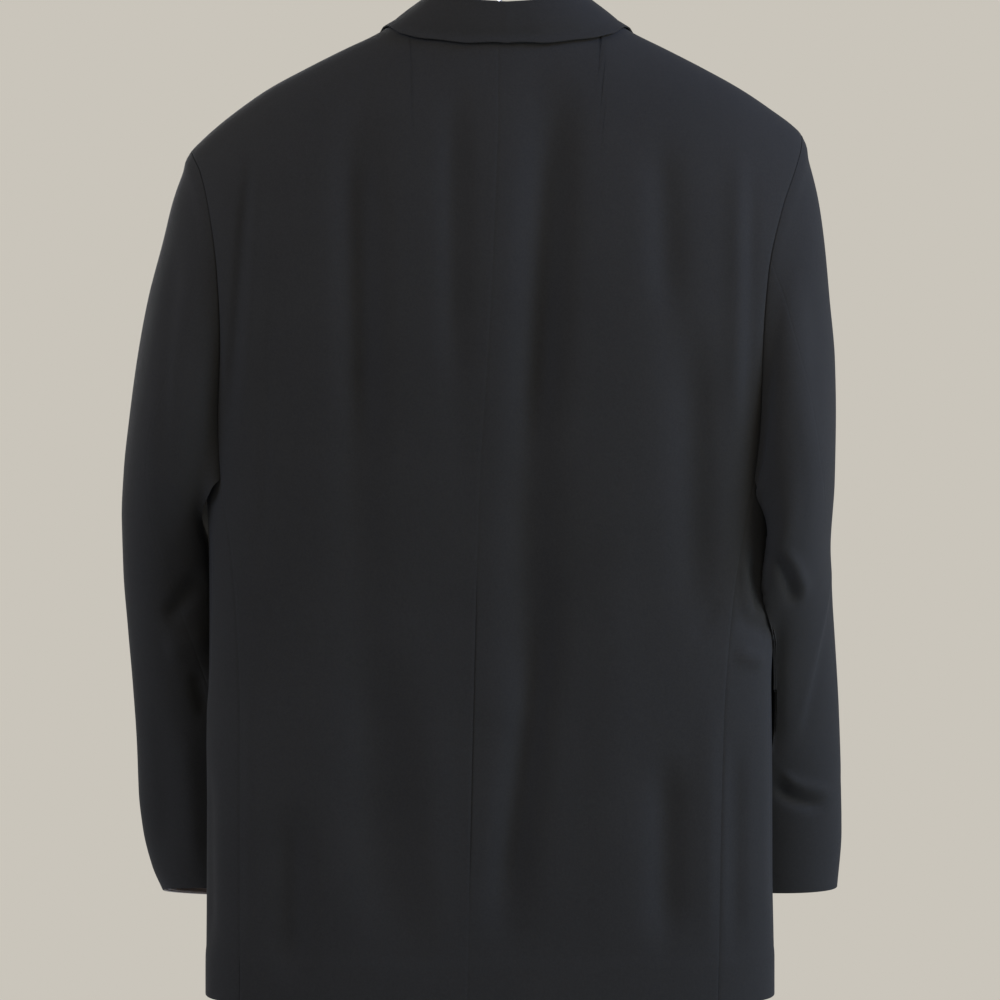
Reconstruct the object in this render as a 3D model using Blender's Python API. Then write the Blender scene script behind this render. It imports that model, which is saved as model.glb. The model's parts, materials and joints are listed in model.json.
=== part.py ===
"""Men's two-button blazer on a plain contoured hanger, hung by its hook.

Metres, +Z up. The garment's front faces -Y and its back +Y, so the wearer's left is +X.
The origin is the point of the hook's inner top that bears on a rail.
Each cut piece is a wall of cloth between two grids of points, 0.3 mm from its neighbours.
"""

import math

import bmesh
import bpy
import numpy as np
from mathutils import Vector

# Cloth and the gaps between pieces
CLOTH = 0.0020
COLLAR_CLOTH = 0.0018
LINING = 0.0010
SEAM_GAP = 0.0003
LAYER_GAP = 0.0004

# Heights
HEM_Z = -0.871
FRONT_HEM_DROP = 0.012
ARMPIT_Z = -0.444
ARMPIT_DIP = 0.006
BREAK_Z = -0.470
GORGE_Z = -0.128
QUARTER_Z = -0.690

# Closure, neck and collar
OVERLAP = 0.018
TUCK = 0.0050
TUCK_RAMP = 0.035
QUARTER_CUT = 0.055
NECK_X = -0.0055
NECK_HALF_WIDTH = 0.078
NECK_BACK_Z = -0.0855
FOLD_RADIUS = 0.0028
FALL_BULGE = 0.0015
LAPEL_RISE = math.radians(12)
LAPEL_START = {1: -0.462, -1: -0.422}
LAPEL_TOP_Z = -0.1300
LAPEL_GAP = 0.0009
LAPEL_CLEAR = 0.0030
LAPEL_LIFT = 0.0020
COLLAR_GAP = 0.0017
STAND_END = 1.6
NOTCH = 0.55

# How square the body's rings and its shoulders are: 2 is an ellipse
BACK_SQUARE = 2.8
FRONT_SQUARE = 2.4
CROWN = 2.5

# Sleeves
SLEEVE_CLEARANCE = 0.0045
SLEEVE_SQUARE = {1: 3.0, -1: 3.6}
CUFF_SQUARE = 2.4
UNDERARM_LEAN = 1.2
SQUARE_LENGTH = 0.50
HIND_SEAM_ROWS = 3
FORE_SEAM_ROWS = 2
LINING_ROWS = 2

# Buttons
FRONT_BUTTON = 0.0100
SLEEVE_BUTTON = 0.0060
SLEEVE_BUTTON_PITCH = 0.0138
CUFF_TO_BUTTON = 0.034
BUTTON_HEIGHT = 0.35

# Hanger and hook
HANGER_REACH = 0.213
HOOK_RADIUS = 0.018
HOOK_WIRE = 0.0019

# Divisions of the grids
BODY_ROWS = 13
ROW_EASING = 1.25
CROWN_ROWS = 9
NECK_COLUMNS = 5
BACK_COLUMNS = 11
FRONT_COLUMNS = 10
SIDE_COLUMNS = 5
SLEEVE_ROWS = 24
COLLAR_PLACES = (
    *(0.00, 0.13, 0.26, 0.39, 0.52, 0.65, 0.76, 0.84, 0.90, 0.94, 0.97, 1.00),
    *(1.04, 1.10, 1.20, 1.32, 1.45, 1.60, 1.75, 1.88, 2.00),
)


def table(names, *rows):
    """A small table as a dictionary of its columns, its first column rising."""
    return dict(zip(names.split(), np.array(rows, float).T))


# The body's rings: middle, half width, and depth behind and before the side
BODY = table(
    "z        x_mid   half    back    front",
    (-0.890, 0.0083, 0.2360, 0.0740, 0.0780),
    (-0.700, 0.0083, 0.2360, 0.0690, 0.0760),
    (-0.560, 0.0078, 0.2350, 0.0660, 0.0760),
    (-0.444, 0.0055, 0.2380, 0.0740, 0.0800),
    (-0.320, 0.0030, 0.2500, 0.0800, 0.0800),
    (-0.230, 0.0000, 0.2580, 0.0820, 0.0770),
    (-0.150, -0.003, 0.2680, 0.0820, 0.0740),
    (-0.030, -0.005, 0.2720, 0.0800, 0.0720),
)

# The ridge of the shoulders, from the wearer's right to the left
SHOULDER = table(
    "x        z",
    (-0.2550, -0.1580),
    (-0.2489, -0.1509),
    (-0.2263, -0.1342),
    (-0.2003, -0.1174),
    (-0.1693, -0.1007),
    (-0.1383, -0.0852),
    (-0.1120, -0.0725),
    (-0.0835, -0.0565),
    (-0.0055, -0.0420),
    (0.0725, -0.0565),
    (0.1080, -0.0755),
    (0.1265, -0.0839),
    (0.1609, -0.1007),
    (0.1927, -0.1174),
    (0.2179, -0.1342),
    (0.2397, -0.1509),
    (0.2600, -0.1690),
)

# Where the back panels end: the side-back seam below the armpit, the armhole above
BACK_EDGE = table(
    "z        left    right",
    (-0.871, 0.2120, -0.1770),
    (-0.640, 0.2125, -0.1825),
    (-0.560, 0.2155, -0.1885),
    (-0.500, 0.2205, -0.1965),
    (-0.444, 0.2290, -0.2075),
    (-0.400, 0.2310, -0.2125),
    (-0.330, 0.2285, -0.2145),
    (-0.275, 0.2315, -0.2190),
    (-0.220, 0.2400, -0.2320),
    (-0.190, 0.2480, -0.2430),
    (-0.168, 0.2580, -0.2500),
    (-0.154, 0.2600, -0.2525),
)

# Where the front panels end: the side-front seam below the armpit, the armhole above
FRONT_EDGE = table(
    "z        left    right",
    (-0.885, 0.1650, -0.1500),
    (-0.640, 0.1700, -0.1550),
    (-0.520, 0.1900, -0.1750),
    (-0.444, 0.2120, -0.1960),
    (-0.380, 0.2160, -0.2030),
    (-0.320, 0.2180, -0.2070),
    (-0.260, 0.2260, -0.2160),
    (-0.210, 0.2400, -0.2340),
    (-0.185, 0.2495, -0.2440),
    (-0.168, 0.2580, -0.2500),
    (-0.154, 0.2600, -0.2525),
)

# The centre-back seam drifts to the wearer's left as it goes down
CENTRE = table(
    "z        x",
    (-0.871, 0.0265),
    (-0.670, 0.0225),
    (-0.460, 0.0168),
    (-0.260, 0.0080),
    (-0.070, 0.0015),
)

# Large folds of the back, inwards where the depth is positive
BACK_FOLDS = table(
    "x_top    z_top   x_low    z_low   width  depth",
    (0.1140, -0.130, 0.1080, -0.450, 0.0150, 0.0065),
    (0.1000, -0.560, 0.0840, -0.850, 0.0240, 0.0060),
    (-0.0500, -0.100, -0.0240, -0.460, 0.0160, 0.0075),
    (-0.0300, -0.420, -0.0200, -0.640, 0.0240, 0.0050),
    (-0.0380, -0.540, 0.0040, -0.830, 0.0140, 0.0060),
    (0.0360, -0.110, 0.0360, -0.380, 0.0110, 0.0030),
    (-0.1300, -0.160, -0.1340, -0.320, 0.0130, 0.0030),
    (-0.1560, -0.300, -0.1600, -0.580, 0.0150, 0.0045),
    (-0.1340, -0.660, -0.1340, -0.830, 0.0150, 0.0050),
    (0.1680, -0.700, 0.1680, -0.860, 0.0140, 0.0050),
)

# The lapel's width square to its roll line
LAPEL = table(
    "z        width",
    (-0.470, 0.0030),
    (-0.420, 0.0220),
    (-0.350, 0.0470),
    (-0.270, 0.0670),
    (-0.200, 0.0790),
    (-0.150, 0.0850),
    (-0.128, 0.0850),
)

# The collar on the wearer's left, x from the middle of the neck. at: 0 centre back,
# 1 the neck end of the shoulder seam, 2 the gorge. face: 1 back, 0 ridge, -1 front.
COLLAR = table(
    "at    fold_x  fold_y   fold_z   edge_x  edge_z   face",
    (0.00, 0.0000, 0.0470, -0.0545, 0.0000, -0.0915, 1),
    (0.50, 0.0370, 0.0410, -0.0490, 0.0550, -0.0880, 1),
    (0.85, 0.0590, 0.0240, -0.0420, 0.0880, -0.0815, 1),
    (1.00, 0.0665, 0.0000, -0.0400, 0.1050, -0.0735, 0),
    (1.25, 0.0705, -0.0310, -0.0560, 0.1150, -0.0900, -1),
    (1.60, 0.0670, -0.0490, -0.0900, 0.1200, -0.1080, -1),
    (2.00, 0.0612, -0.0575, -0.1265, 0.1120, -0.1120, -1),
)

# Sleeve sections from the cap to the cuff. outer and inner: the ends of the section seen
# from behind; y_half: half its depth; slant: how far the outer end leans back; twist: how
# far the seams turn outwards, in degrees; tilt: drop of the section's front side.
SLEEVE_COLUMNS = "outer_x outer_z  inner_x inner_z  y_mid   y_half  slant twist tilt"
SLEEVE = {
    1: table(
        SLEEVE_COLUMNS,
        (0.2745, -0.2084, 0.2475, -0.4560, -0.006, 0.057, 0.00, 0, 0.00),
        (0.2829, -0.2421, 0.2490, -0.4620, -0.008, 0.061, 0.00, 0, 0.00),
        (0.2960, -0.2930, 0.2495, -0.4690, -0.012, 0.065, 0.00, 0, 0.00),
        (0.3050, -0.3430, 0.2490, -0.4770, -0.018, 0.068, 0.02, 0, 0.00),
        (0.3118, -0.3940, 0.2460, -0.4880, -0.027, 0.070, 0.06, 2, 0.00),
        (0.3170, -0.4360, 0.2400, -0.5020, -0.038, 0.070, 0.12, 6, 0.00),
        (0.3200, -0.4780, 0.2320, -0.5240, -0.051, 0.069, 0.20, 12, 0.00),
        (0.3202, -0.5200, 0.2220, -0.5520, -0.063, 0.066, 0.26, 20, 0.00),
        (0.3179, -0.5705, 0.2110, -0.5930, -0.073, 0.062, 0.28, 29, 0.00),
        (0.3150, -0.6210, 0.2030, -0.6350, -0.079, 0.057, 0.26, 38, 0.02),
        (0.3128, -0.6715, 0.2000, -0.6790, -0.083, 0.052, 0.22, 46, 0.06),
        (0.3120, -0.7136, 0.2000, -0.7180, -0.086, 0.048, 0.20, 52, 0.12),
        (0.3087, -0.7473, 0.1990, -0.7500, -0.088, 0.046, 0.20, 55, 0.18),
        (0.3009, -0.7800, 0.1980, -0.7800, -0.089, 0.045, 0.20, 56, 0.22),
        (0.2915, -0.8015, 0.1970, -0.8015, -0.089, 0.045, 0.20, 56, 0.22),
    ),
    -1: table(
        SLEEVE_COLUMNS,
        (-0.2665, -0.2084, -0.2310, -0.4560, -0.003, 0.057, 0.00, 0, 0.00),
        (-0.2712, -0.2421, -0.2270, -0.4620, -0.003, 0.061, -0.02, 0, 0.00),
        (-0.2758, -0.2926, -0.2230, -0.4690, -0.004, 0.066, -0.06, 0, 0.00),
        (-0.2803, -0.3431, -0.2200, -0.4780, -0.006, 0.069, -0.10, 0, 0.00),
        (-0.2815, -0.3936, -0.2180, -0.4890, -0.009, 0.071, -0.14, 0, 0.00),
        (-0.2811, -0.4442, -0.2150, -0.5040, -0.013, 0.072, -0.16, -8, 0.00),
        (-0.2792, -0.4947, -0.2080, -0.5290, -0.023, 0.071, -0.16, -18, 0.00),
        (-0.2838, -0.5452, -0.1920, -0.5620, -0.039, 0.068, -0.12, -30, 0.00),
        (-0.2880, -0.5957, -0.1740, -0.6060, -0.057, 0.063, -0.05, -44, 0.00),
        (-0.2912, -0.6462, -0.1660, -0.6530, -0.066, 0.058, 0.02, -60, 0.00),
        (-0.2934, -0.6968, -0.1680, -0.7010, -0.072, 0.053, 0.05, -86, 0.00),
        (-0.2945, -0.7473, -0.1740, -0.7500, -0.076, 0.048, 0.08, -98, 0.00),
        (-0.2910, -0.7945, -0.1800, -0.7945, -0.078, 0.045, 0.08, -102, 0.00),
    ),
}

# Pocket pieces, on the wearer's left, mirrored for the right hip
HIP_FLAP = {"x": (0.062, 0.166), "z": -0.600, "height": 0.052, "rise": 0.010}
BREAST_WELT = {"x": (0.132, 0.206), "z": -0.246, "height": 0.024, "rise": 0.014}


# ---------------------------------------------------------------- small mathematics


def curve(x, y, at):
    """A monotone cubic through the points, which rises and falls only where they do."""
    step = np.diff(x)
    slope = np.diff(y) / step
    near, far = slope[:-1], slope[1:]
    turns = near * far <= 0
    safe_near = np.where(turns, 1.0, near)
    safe_far = np.where(turns, 1.0, far)
    weight_near = 2 * step[1:] + step[:-1]
    weight_far = step[1:] + 2 * step[:-1]
    mean = (weight_near + weight_far) / (weight_near / safe_near + weight_far / safe_far)
    tangent = np.concatenate([slope[:1], np.where(turns, 0.0, mean), slope[-1:]])
    at = np.clip(at, x[0], x[-1])
    i = np.clip(np.searchsorted(x, at, side="right") - 1, 0, len(x) - 2)
    u = (at - x[i]) / step[i]
    start = (1 + 2 * u) * (1 - u) ** 2 * y[i] + u * (1 - u) ** 2 * step[i] * tangent[i]
    end = u * u * (3 - 2 * u) * y[i + 1] + u * u * (u - 1) * step[i] * tangent[i + 1]
    return start + end


def read(rows, name, at, key="z"):
    return curve(rows[key], rows[name], at)


def ease(value):
    value = np.clip(value, 0, 1)
    return value * value * (3 - 2 * value)


def mix(a, b, share):
    return a + (b - a) * share


def unit(vectors):
    return vectors / np.maximum(np.linalg.norm(vectors, axis=-1, keepdims=True), 1e-12)


def points(x, y, z):
    return np.stack(np.broadcast_arrays(x, y, z), axis=-1)


def side_name(side):
    return "left" if side > 0 else "right"


# ---------------------------------------------------------------- the body's surface


def ridge_z(x):
    return curve(SHOULDER["x"], SHOULDER["z"], x)


def ridge_y(x):
    """The shoulder line bends forward towards its ends, as the hanger does."""
    return -0.002 - 0.2 * x**2


def squareness(face):
    return BACK_SQUARE if face > 0 else FRONT_SQUARE


def spread(x, z):
    """How far out on its ring a point is: 0 in the middle, 1 at the side."""
    return np.clip(np.abs(x - read(BODY, "x_mid", z)) / read(BODY, "half", z), 0, 1)


def hem_z(x, face):
    if face > 0:
        return HEM_Z + 0 * x
    return HEM_Z - FRONT_HEM_DROP * (1 - spread(x, HEM_Z) ** 2)


def height(x, level, face):
    """level: 0 at the hem, 1 at the armpit, 2 on the ridge of the shoulder."""
    low = mix(hem_z(x, face), ARMPIT_Z, np.clip(level, 0, 1))
    turn = (np.clip(level, 1, 2) - 1) * math.pi / 2
    high = mix(ARMPIT_Z, ridge_z(x), np.sin(turn) ** (2 / CROWN))
    return np.where(level <= 1, low, high)


def level_at(x, z, face):
    """The level of the point at this x and z."""
    low = (z - hem_z(x, face)) / (ARMPIT_Z - hem_z(x, face))
    rise = np.clip((z - ARMPIT_Z) / (ridge_z(x) - ARMPIT_Z), 0, 1)
    high = 1 + np.arcsin(rise ** (CROWN / 2)) / (math.pi / 2)
    return np.where(z <= ARMPIT_Z, low, high)


def folds(rows, x, z):
    """Soft troughs, each a slanting line with a width, fading at both ends."""
    total = np.zeros(np.broadcast(x, z).shape)
    for i in range(len(rows["depth"])):
        down = (rows["z_top"][i] - z) / (rows["z_top"][i] - rows["z_low"][i])
        middle = mix(rows["x_top"][i], rows["x_low"][i], down)
        fade = ease(down / 0.3) * ease((1 - down) / 0.3)
        total += rows["depth"][i] * fade * np.exp(-(((x - middle) / rows["width"][i]) ** 2))
    return total


def body_point(x, level, face):
    """A point of the back (face 1) or the front (face -1)."""
    z = height(x, level, face)
    out = spread(x, z)
    square = squareness(face)
    full = read(BODY, "back" if face > 0 else "front", z)
    full = face * full * (1 - out**square) ** (1 / square)
    turn = (np.clip(level, 1, 2) - 1) * math.pi / 2
    y = mix(ridge_y(x), full, np.cos(turn) ** (2 / CROWN))
    y = np.where(level <= 1, full, y)
    if face > 0:
        y = y - folds(BACK_FOLDS, x, z) * ease((1 - out) / 0.15)
    return points(x, y, z)


def slope_normal(surface, u, v, facing):
    """The outward normal of surface(u, v), from small steps along it."""
    step = 1e-4
    along = surface(u + step, v) - surface(u - step, v)
    up = surface(u, v + step) - surface(u, v - step)
    return facing * unit(np.cross(up, along))


def centre_front(z):
    return 2 * read(BODY, "x_mid", z) - read(CENTRE, "x", z)


def tuck(x, z):
    """How far the right front lies in, under the left one."""
    start = centre_front(z) - OVERLAP - TUCK_RAMP
    return TUCK * ease((x - start) / TUCK_RAMP)


def front_point(side, x, level):
    spot = body_point(x, level, -1)
    if side < 0:
        spot = spot + points(0 * x, tuck(x, spot[..., 2]), 0 * x)
    return spot


def on_front(side, x, z, lift):
    level = level_at(x, z, -1)

    def surface(u, v):
        return front_point(side, u, v)

    return surface(x, level) + lift * slope_normal(surface, x, level, -1)


def settle(x, level, face, rule):
    """The x that a rule in z gives at this level, found by a few rounds."""
    for _ in range(12):
        x = rule(height(x, level, face))
    return x


def panel_edge(rows, side, level, face):
    def rule(z):
        return read(rows, side_name(side), z)

    return settle(np.full(np.shape(level), 0.23 * side), level, face, rule)


def neck_x(side):
    return NECK_X + side * NECK_HALF_WIDTH


def neckline_level(x):
    """Where the back panels end under the collar, at this x."""
    out = np.clip(np.abs(x - NECK_X) / NECK_HALF_WIDTH, 0, 1)
    z_end = ridge_z(NECK_X + np.sign(x - NECK_X) * NECK_HALF_WIDTH)
    z = mix(z_end, NECK_BACK_Z, np.sqrt(1 - out**2))
    return np.where(out >= 1, 2.0, level_at(x, z, 1))


def roll_x(side, z):
    """The lapel's roll line, straight from the break to the neck."""
    low = centre_front(BREAK_Z) - side * OVERLAP
    z_neck = ridge_z(neck_x(side))
    return mix(low, neck_x(side), (z - BREAK_Z) / (z_neck - BREAK_Z))


def closure_x(side, z):
    """The front edge: rounded away below, overlapping at the buttons, rolled above."""
    down = np.clip((QUARTER_Z - z) / (QUARTER_Z - HEM_Z + FRONT_HEM_DROP), 0, 1)
    cut = QUARTER_CUT * (1 - np.sqrt(1 - (0.985 * down) ** 2))
    straight = centre_front(z) - side * OVERLAP + side * cut
    return np.where(z > BREAK_Z, roll_x(side, z), straight)


# ---------------------------------------------------------------- making solids


def clear_scene():
    for item in list(bpy.data.objects):
        bpy.data.objects.remove(item, do_unlink=True)


def make_material(name, colour, roughness, metallic=0.0, sheen=0.0):
    material = bpy.data.materials.new(name)
    material.use_nodes = True
    shader = material.node_tree.nodes["Principled BSDF"]
    shader.inputs["Base Color"].default_value = (*colour, 1.0)
    shader.inputs["Roughness"].default_value = roughness
    shader.inputs["Metallic"].default_value = metallic
    shader.inputs["Sheen Weight"].default_value = sheen
    return material


def add_object(name, mesh, material, collection):
    mesh.materials.append(material)
    item = bpy.data.objects.new(name, mesh)
    collection.objects.link(item)
    return item


def short_split(corners):
    """The two triangles of a four-cornered face, split along its shorter diagonal."""
    first = (corners[0].co - corners[2].co).length
    second = (corners[1].co - corners[3].co).length
    return ((0, 1, 2), (0, 2, 3)) if first <= second else ((1, 2, 3), (1, 3, 0))


def wall(name, face, back, material, collection, closed=False):
    """A closed wall between two grids, rows by columns; closed joins the last column."""
    rows, columns = face.shape[:2]
    shell = bmesh.new()
    outer = [[shell.verts.new(spot) for spot in row] for row in face]
    inner = [[shell.verts.new(spot) for spot in row] for row in back]
    spans = columns if closed else columns - 1
    for r in range(rows - 1):
        for c in range(spans):
            d = (c + 1) % columns
            near, far = (
                (grid[r][c], grid[r][d], grid[r + 1][d], grid[r + 1][c]) for grid in (outer, inner)
            )
            for corners in short_split(near):
                shell.faces.new([near[k] for k in corners])
                shell.faces.new([far[k] for k in reversed(corners)])
    for r in (0, rows - 1):
        for c in range(spans):
            d = (c + 1) % columns
            shell.faces.new((outer[r][c], inner[r][c], inner[r][d], outer[r][d]))
    if not closed:
        for c in (0, columns - 1):
            for r in range(rows - 1):
                shell.faces.new((outer[r][c], outer[r + 1][c], inner[r + 1][c], inner[r][c]))
    bmesh.ops.recalc_face_normals(shell, faces=shell.faces)
    mesh = bpy.data.meshes.new(name)
    shell.to_mesh(mesh)
    shell.free()
    mesh.shade_smooth()
    mesh.set_sharp_from_angle(angle=math.radians(40))
    return add_object(name, mesh, material, collection)


def draw_in(grid, closed=False):
    """Moves a grid's edges in by half a seam's gap."""
    grid = grid.copy()
    if not closed:
        grid[:, 0] += unit(grid[:, 1] - grid[:, 0]) * SEAM_GAP / 2
        grid[:, -1] += unit(grid[:, -2] - grid[:, -1]) * SEAM_GAP / 2
    grid[0] += unit(grid[1] - grid[0]) * SEAM_GAP / 2
    grid[-1] += unit(grid[-2] - grid[-1]) * SEAM_GAP / 2
    return grid


def grid_normals(grid, closed=False):
    """Normals of a grid from its neighbours; the sign is the caller's."""
    if closed:
        across = np.roll(grid, -1, axis=1) - np.roll(grid, 1, axis=1)
    else:
        across = np.gradient(grid, axis=1)
    return unit(np.cross(np.gradient(grid, axis=0), across))


# ---------------------------------------------------------------- body panels


def panel_levels():
    """Levels of the rows from the hem, where they are closer, to the armpit."""
    return np.linspace(0, 1, BODY_ROWS + 1) ** ROW_EASING


def body_levels():
    """Levels of the rows to the armpit, then even round the shoulder."""
    return np.concatenate([panel_levels()[:-1], np.linspace(1, 2, CROWN_ROWS + 1)])


def back_columns(side):
    """Shares of the width from the centre seam, with one column at the neck's end."""
    start = read(CENTRE, "x", ridge_z(NECK_X))
    end = panel_edge(BACK_EDGE, side, np.array([2.0]), 1)[0]
    neck = (neck_x(side) - start) / (end - start)
    inner = np.linspace(0, neck, NECK_COLUMNS + 1)
    return np.concatenate([inner[:-1], np.linspace(neck, 1, BACK_COLUMNS + 1)])


def back_grid(side):
    """x and level of each point of a back panel."""
    level = body_levels()[:, None]
    share = back_columns(side)[None, :]
    end = panel_edge(BACK_EDGE, side, level, 1)
    start = read(CENTRE, "x", height(0 * level, level, 1))
    x = mix(start, end, share)
    top = neckline_level(x)
    return x, np.where(level <= 1, level, 1 + (level - 1) * (top - 1))


def build_back(side, material, collection):
    x, level = back_grid(side)

    def surface(u, v):
        return body_point(u, v, 1)

    face = surface(x, level)
    back = face - CLOTH * slope_normal(surface, x, level, 1)
    wall(f"back_{side_name(side)}", draw_in(face), draw_in(back), material, collection)


def front_grid(side):
    level = body_levels()[:, None]
    share = np.linspace(0, 1, FRONT_COLUMNS + 1)[None, :]
    end = panel_edge(FRONT_EDGE, side, level, -1)

    def rule(z):
        return closure_x(side, z)

    start = settle(0 * level, level, -1, rule)
    x = mix(start, end, share)
    return x, np.broadcast_to(level, x.shape)


def build_front(side, material, collection):
    x, level = front_grid(side)

    def surface(u, v):
        return front_point(side, u, v)

    face = surface(x, level)
    back = face - CLOTH * slope_normal(surface, x, level, -1)
    wall(f"front_{side_name(side)}", draw_in(face), draw_in(back), material, collection)


def side_point(side, turn, level):
    """A point of the side panel. turn: 0 at the middle of the back, pi at the front."""
    behind = turn < math.pi / 2
    square = np.where(behind, BACK_SQUARE, FRONT_SQUARE)
    out = np.abs(np.sin(turn)) ** (2 / square)
    hem = HEM_Z - np.where(behind, 0, FRONT_HEM_DROP) * (1 - out**2)
    z = mix(hem, ARMPIT_Z, level)
    x = read(BODY, "x_mid", z) + side * read(BODY, "half", z) * out
    depth = np.where(behind, read(BODY, "back", z), -read(BODY, "front", z))
    return points(x, depth * np.abs(np.cos(turn)) ** (2 / square), z)


def side_grid(side):
    """turn and level of each point of a side panel, between its two seams."""
    level = panel_levels()[:, None]
    share = np.linspace(0, 1, SIDE_COLUMNS + 1)[None, :]
    turns = []
    for rows, face in ((BACK_EDGE, 1), (FRONT_EDGE, -1)):
        edge = panel_edge(rows, side, level, face)
        out = spread(edge, height(edge, level, face))
        turn = np.arcsin(out ** (squareness(face) / 2))
        turns.append(turn if face > 0 else math.pi - turn)
    turn = mix(turns[0], turns[1], share)
    dip = ARMPIT_DIP / (ARMPIT_Z - HEM_Z)
    return turn, level * (1 - dip * np.sin(math.pi * share))


def build_side(side, material, collection):
    turn, level = side_grid(side)

    def surface(u, v):
        return side_point(side, u, v)

    face = surface(turn, level)
    back = face - CLOTH * slope_normal(surface, turn, level, side)
    wall(f"side_{side_name(side)}", draw_in(face), draw_in(back), material, collection)


# ---------------------------------------------------------------- sleeves


def armhole(side):
    """The armhole as a ring of points: top, down the back, under the arm, up the front."""
    down = np.linspace(2, 1, CROWN_ROWS + 1)
    behind = body_point(panel_edge(BACK_EDGE, side, down, 1), down, 1)
    up = down[::-1]
    before = body_point(panel_edge(FRONT_EDGE, side, up, -1), up, -1)
    turn, level = side_grid(side)
    under = side_point(side, turn[-1], level[-1])
    return np.concatenate([behind[:-1], under[:-1], before[:-1]])


def ring_angles(ring):
    """Angle of each point round the ring, by its distance along it from the top."""
    length = np.linalg.norm(np.roll(ring, -1, axis=0) - ring, axis=1)
    return 2 * math.pi * np.concatenate([[0], np.cumsum(length)[:-1]]) / length.sum()


def sleeve_rows(side, ring):
    """The section table with the armhole as its first row, and its length from there."""
    bottom = ring[CROWN_ROWS + (SIDE_COLUMNS + 1) // 2]
    behind, before = ring[:, 1].max(), ring[:, 1].min()
    first = {
        "outer_x": ring[0, 0],
        "outer_z": ring[0, 2],
        "inner_x": bottom[0],
        "inner_z": bottom[2],
        "y_mid": (behind + before) / 2,
        "y_half": (behind - before) / 2,
    }
    rows = {
        name: np.concatenate([[first.get(name, 0.0)], column])
        for name, column in SLEEVE[side].items()
    }
    steps = np.hypot(np.diff(rows["outer_x"]), np.diff(rows["outer_z"]))
    rows["at"] = np.concatenate([[0], np.cumsum(steps)])
    return rows


def clear_of_body(spots, fade):
    """Presses the sleeve's wall off the body's rings, below the armpit."""
    x, y, z = spots[..., 0], spots[..., 1], spots[..., 2]
    mid = read(BODY, "x_mid", z)
    half = read(BODY, "half", z) + SLEEVE_CLEARANCE
    behind = y > 0
    deep = np.where(behind, read(BODY, "back", z), read(BODY, "front", z)) + SLEEVE_CLEARANCE
    square = np.where(behind, BACK_SQUARE, FRONT_SQUARE)
    reach = (np.abs((x - mid) / half) ** square + np.abs(y / deep) ** square) ** (1 / square)
    push = np.maximum(1, 1 / np.maximum(reach, 0.3))
    push = 1 + (push - 1) * ease((ARMPIT_Z - z) / 0.016) * fade
    return points(mid + (x - mid) * push, y * push, z)


def sleeve_grid(side, stretch, ring):
    """Rows of rings down the sleeve, at these distances from the armhole."""
    rows = sleeve_rows(side, ring)
    angle = ring_angles(ring)[None, :]

    def column(name):
        return read(rows, name, stretch, key="at")[:, None]

    def frame(pick):
        top = points(pick("outer_x"), 0 * pick("y_mid"), pick("outer_z"))
        low = points(pick("inner_x"), 0 * pick("y_mid"), pick("inner_z"))
        middle = (top + low) / 2 + points(0 * pick("y_mid"), pick("y_mid"), 0 * pick("y_mid"))
        return middle, (top - low) / 2

    def first(name):
        return rows[name][:1, None]

    middle, half = frame(column)
    start_middle, start_half = frame(first)
    start_along = unit(start_half)
    across = points(start_along[..., 2], 0 * start_along[..., 0], -start_along[..., 0])
    away = ring[None] - start_middle
    reach = np.linalg.norm(start_half, axis=-1)
    ring_out = (away * start_along).sum(-1) / reach
    ring_back = away[..., 1] / first("y_half")
    ring_off = (away * across).sum(-1)

    turn = angle + np.radians(column("twist"))
    power = mix(SLEEVE_SQUARE[side], CUFF_SQUARE, ease(stretch / SQUARE_LENGTH))[:, None]
    out, back = np.cos(turn), np.sin(turn)
    full = (np.abs(out) ** power + np.abs(back) ** power) ** (1 / power)
    full = np.where(out < 0, full, 1.0)
    out, back = out / full, back / full
    slant = column("slant")
    back = slant * out + np.sqrt(1 - slant**2) * back
    blend = ease(stretch / rows["at"][6])[:, None]
    out = mix(ring_out, out, blend)
    back = mix(ring_back, back, blend)
    along = unit(half)
    off = points(along[..., 2], 0 * along[..., 0], -along[..., 0])
    spots = middle + half * out[..., None] + off * (ring_off * (1 - blend))[..., None]
    depth = column("y_half") * back
    spots = spots + points(0 * depth, depth, column("tilt") * depth)
    return clear_of_body(spots, ease(stretch / 0.03)[:, None])


def sleeve_walls(side, stretch, ring):
    """The outer and inner grids of the whole sleeve, and the directions out of its wall."""
    face = sleeve_grid(side, stretch, ring)
    under = ease((-np.cos(ring_angles(ring)) - 0.2) / 0.6) * ease(stretch / 0.03)[:, None]
    inward = unit(face.mean(axis=1, keepdims=True) - face)
    inward = inward + points(side * UNDERARM_LEAN * under, 0 * under, 0 * under)
    share = ease((stretch - 0.45) / 0.08)[:, None, None]
    normal = unit(mix(-unit(inward), grid_normals(face, closed=True) * side, share))
    face[0, :, 0] += side * SEAM_GAP
    return face, face - CLOTH * normal, normal


def sleeve_stretch(side, ring):
    """Distances of the rings: closer together at the cap."""
    length = sleeve_rows(side, ring)["at"][-1]
    share = np.linspace(0, 1, SLEEVE_ROWS + 1)
    return length * (0.8 * share + 0.2 * share**2)


def build_sleeve(side, cloth, lining, collection):
    ring = armhole(side)
    stretch = sleeve_stretch(side, ring)
    face, back, normal = sleeve_walls(side, stretch, ring)
    hind = CROWN_ROWS - HIND_SEAM_ROWS
    fore = CROWN_ROWS + SIDE_COLUMNS + FORE_SEAM_ROWS
    count = len(ring)
    pieces = {
        "top_sleeve": np.arange(fore, count + hind + 1) % count,
        "under_sleeve": np.arange(hind, fore + 1),
    }
    for name, picks in pieces.items():
        wall(
            f"{name}_{side_name(side)}",
            draw_in(face[:, picks]),
            draw_in(back[:, picks]),
            cloth,
            collection,
        )
    build_cuff_lining(side, ring, stretch, lining, collection)
    build_sleeve_buttons(side, face, normal, stretch, hind, collection)


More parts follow.
